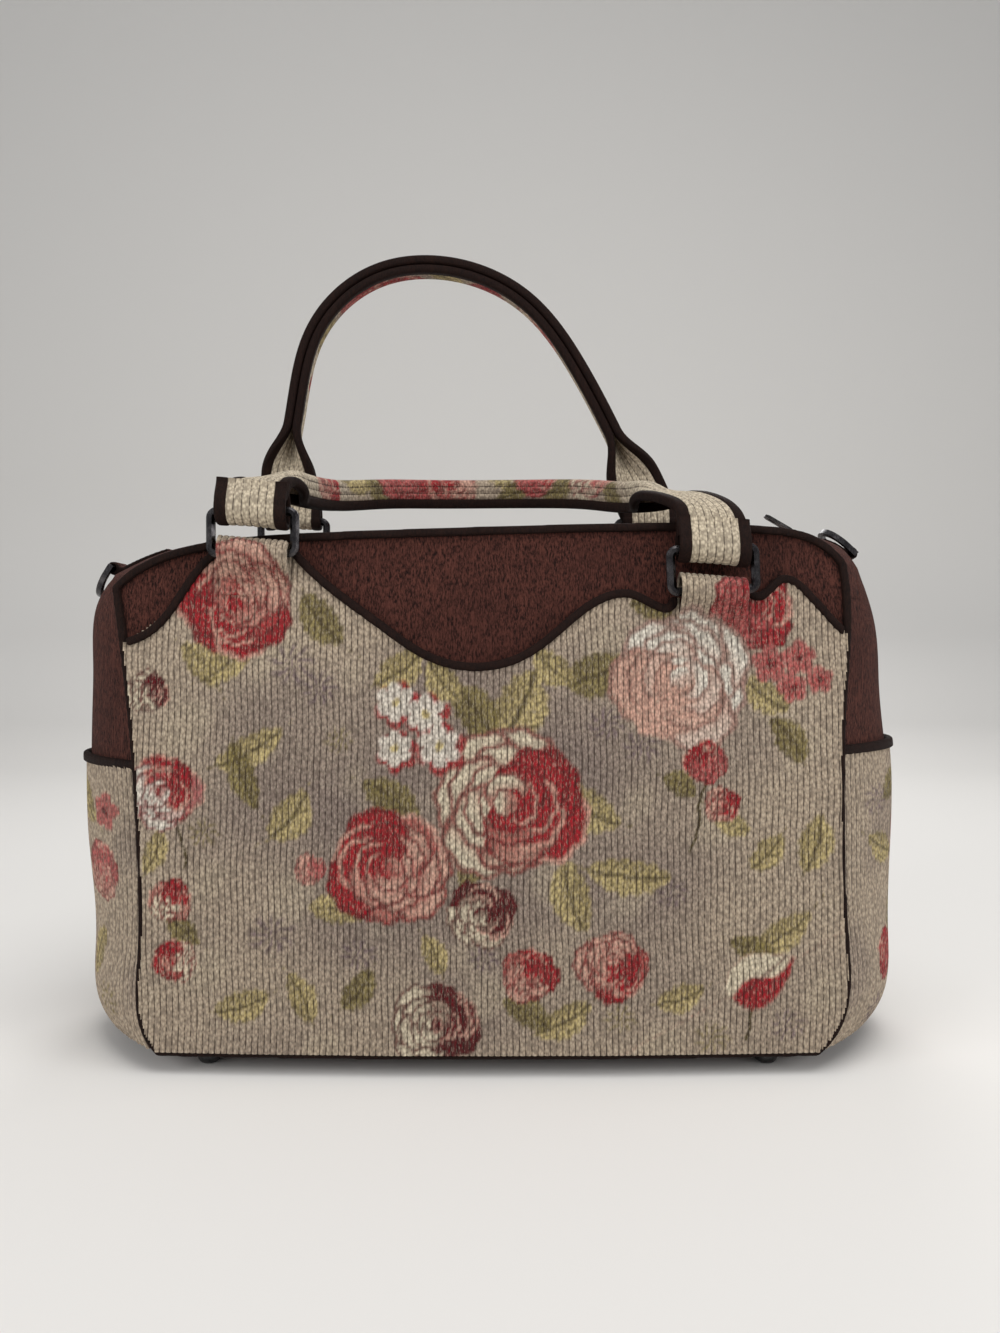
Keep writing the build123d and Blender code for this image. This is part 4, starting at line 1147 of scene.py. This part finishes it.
# %% Pockets: the flat cloth and the rolls round the rings
def tab_roll(side, place, tilt):
    """Points of the roll that a pocket's tab makes round a ring's bar, and its rows and columns."""
    x0, z0 = place
    bar_y = abs(bar_place(side, place)[1])
    radius = CHANNEL[side] + LOOP_PLY
    lines = []
    for height in np.linspace(-TAB_DROP, 0, 13)[:-1]:
        flat_depth = face_depth(x0, z0 + height) + 3.0
        blend = float(step(height, -TAB_DROP + 2, -1))
        lines.append((flat_depth + (bar_y + radius - flat_depth) * blend, height))
    for angle in np.linspace(0, math.radians(205), 22):
        lines.append((bar_y + radius * math.cos(angle), radius * math.sin(angle)))
    first = math.ceil((x0 - TAB_HALF) / RIB_PITCH * COLUMNS_IN_TAB_RIB)
    columns = int(2 * TAB_HALF / RIB_PITCH * COLUMNS_IN_TAB_RIB)
    xs = np.arange(first, first + columns) * RIB_PITCH / COLUMNS_IN_TAB_RIB
    crown, _ = rib_wave(xs)
    out = RIB_DEPTH * (crown - 1)
    points = []
    for depth, height in lines:
        level = z0 + (xs - x0) * math.tan(tilt) + height
        over = depth - bar_y
        away = max(math.hypot(over, height), 1e-6)
        points.append(np.stack([xs, side * (depth + out * over / away), level + out * height / away], axis=1))
    return np.concatenate(points), len(lines), columns


def pocket_mesh(name, side, colour):
    """The pocket's ribbed cloth with its two rolls, as one object with its print."""
    step_across = RIB_PITCH / COLUMNS_IN_RIB
    xs = np.arange(-62 * COLUMNS_IN_RIB, 61 * COLUMNS_IN_RIB) * step_across
    zs = np.arange(10, 272, ROW_STEP)
    x, z = wall_grid(xs, zs)
    # The rib's depth, and painted shade in the grooves between the ribs.
    crown, gap_shade = rib_wave(x)
    x = x + 0.5 * np.sin(z / 21.0) + 0.3 * np.sin(z / 8.0 + x / 60)
    depth = face_depth(x, z) + 2.9 + sag(x, z) * 0.7 + RIB_DEPTH * (crown - 0.8)
    points = np.stack([x, side * depth, z], axis=1)
    cell_x = cell_places(x, len(zs), len(xs), step_across / 2)
    cell_z = cell_places(z, len(zs), len(xs), ROW_STEP / 2)
    keep = inside_seam(cell_x, cell_z) & (cell_z < edge_height(cell_x, side))
    for place in RINGS[side]:
        keep &= (np.abs(cell_x - place[0]) >= TAB_HALF - 1.0) | (cell_z <= place[1] - TAB_DROP + 4)
    pocket, used = grid_object(name + "_knit", points, len(zs), len(xs), keep)
    add_colours(pocket, colour(x[used], z[used]), gap_shade[used])
    face_away(pocket)
    parts = [pocket]
    for place in RINGS[side]:
        points, rows, columns = tab_roll(side, place, RING_TILT[side])
        roll, _ = grid_object(name + "_roll", points, rows, columns)
        spread = np.repeat(np.arange(rows), columns) * ROW_STEP + place[1] - TAB_DROP
        # The print, and painted shade in the grooves between the ribs.
        add_colours(roll, colour(points[:, 0], spread), rib_wave(points[:, 0])[1])
        face_away(roll, bar_place(side, place) * 0.001, round_bar=True)
        thicken(roll, TAB_PLY)
        parts.append(roll)
    return join(parts)


for name, side, colour in (("front_pocket", -1, front_print), ("back_pocket", 1, back_print)):
    finish_piece(pocket_mesh(name, side, colour), knit, "bag", "knit", name)


# %% [markdown]
# The side pockets wrap the gussets. They use the same band form, pushed out by the thickness of the knit,
# with ribs across the band.

# %% Side pockets
def band_normal(points, rows, columns):
    """Outward directions of a grid on the band."""
    grid = points.reshape(rows, columns, 3)
    along = np.gradient(grid, axis=1)
    over = np.gradient(grid, axis=0)
    normal = np.cross(along, over)
    normal /= np.linalg.norm(normal, axis=2, keepdims=True)
    outward = np.sign((normal[..., 0] * grid[..., 0]).sum())
    return (normal * outward).reshape(-1, 3)


SIDE_RIBS = 52
for name, way, rim in (("left", -1, 154.0), ("right", 1, 162.0)):
    edge = 1 if way > 0 else 3
    seam_part, middle_part = (smooth_line(edges[edge], 220)[::way] for edges in (SEAM_EDGES, MIDDLE_EDGES))
    rows = COLUMNS_IN_RIB * SIDE_RIBS + 1
    columns = len(seam_part)
    points = band_points(np.tile(seam_part, (rows, 1)), np.tile(middle_part, (rows, 1)),
                         np.repeat(np.linspace(-1.0, 1.0, rows), columns))
    # The rib's depth, and painted shade in the grooves between the ribs.
    crown, gap_shade = rib_wave(np.repeat(np.arange(rows), columns) * RIB_PITCH / COLUMNS_IN_RIB)
    rise = 2.4 + side_swell(points) * 0.8 + RIB_DEPTH * (crown - 0.8)
    points = points + band_normal(points, rows, columns) * rise[:, None]
    heights = points[:, 2].reshape(rows, columns)
    cell_z = (heights[:-1, :-1] + heights[1:, 1:]) / 2
    keep = (cell_z > 13) & (cell_z < rim - 1.5)
    side_cloth, used = grid_object(name + "_side_knit", points, rows, columns, keep)
    add_colours(side_cloth, side_print(points[used, 1] * -way, points[used, 2]), gap_shade[used])
    face_away(side_cloth)
    finish_piece(side_cloth, knit, "bag", "knit", name + "_side_pocket")


# %% [markdown]
# The zip's tapes are woven cloth. The CAD boxes are cut finer and given the weave. The teeth, slider, pull,
# stops, rings and feet keep their CAD shape, and take the metal and plastic finishes.

# %% Zip tapes and hard parts
for name in ("zip_tape_front", "zip_tape_back"):
    tape = copied_node(name, "_woven")
    shape = bmesh.new()
    shape.from_mesh(tape.data)
    bmesh.ops.remove_doubles(shape, verts=shape.verts, dist=1e-6)
    long_edges = [e for e in shape.edges if e.calc_length() > 0.05]
    bmesh.ops.subdivide_edges(shape, edges=long_edges, cuts=60, use_grid_fill=True)
    shape.to_mesh(tape.data)
    shape.free()
    finish_piece(tape, zip_cloth, "bag", "zip_tape", name)

hard_parts = (
    (gunmetal, ("left_d_ring", "right_d_ring", "front_ring_left", "front_ring_right", "back_ring_left",
                "back_ring_right", "zip_stop_left", "zip_stop_right")),
    (slider_metal, ("zip_slider", "zip_pull")),
    (teeth_plastic, ("zip_teeth_front", "zip_teeth_back")),
    (foot_plastic, ("foot_front_left", "foot_front_right", "foot_back_left", "foot_back_right")),
    (board, ("base_board",)),
)
for material, members in hard_parts:
    for member in members:
        nodes[member].data.materials.clear()
        nodes[member].data.materials.append(material)
print("hard parts", sum(len(members) for _, members in hard_parts))
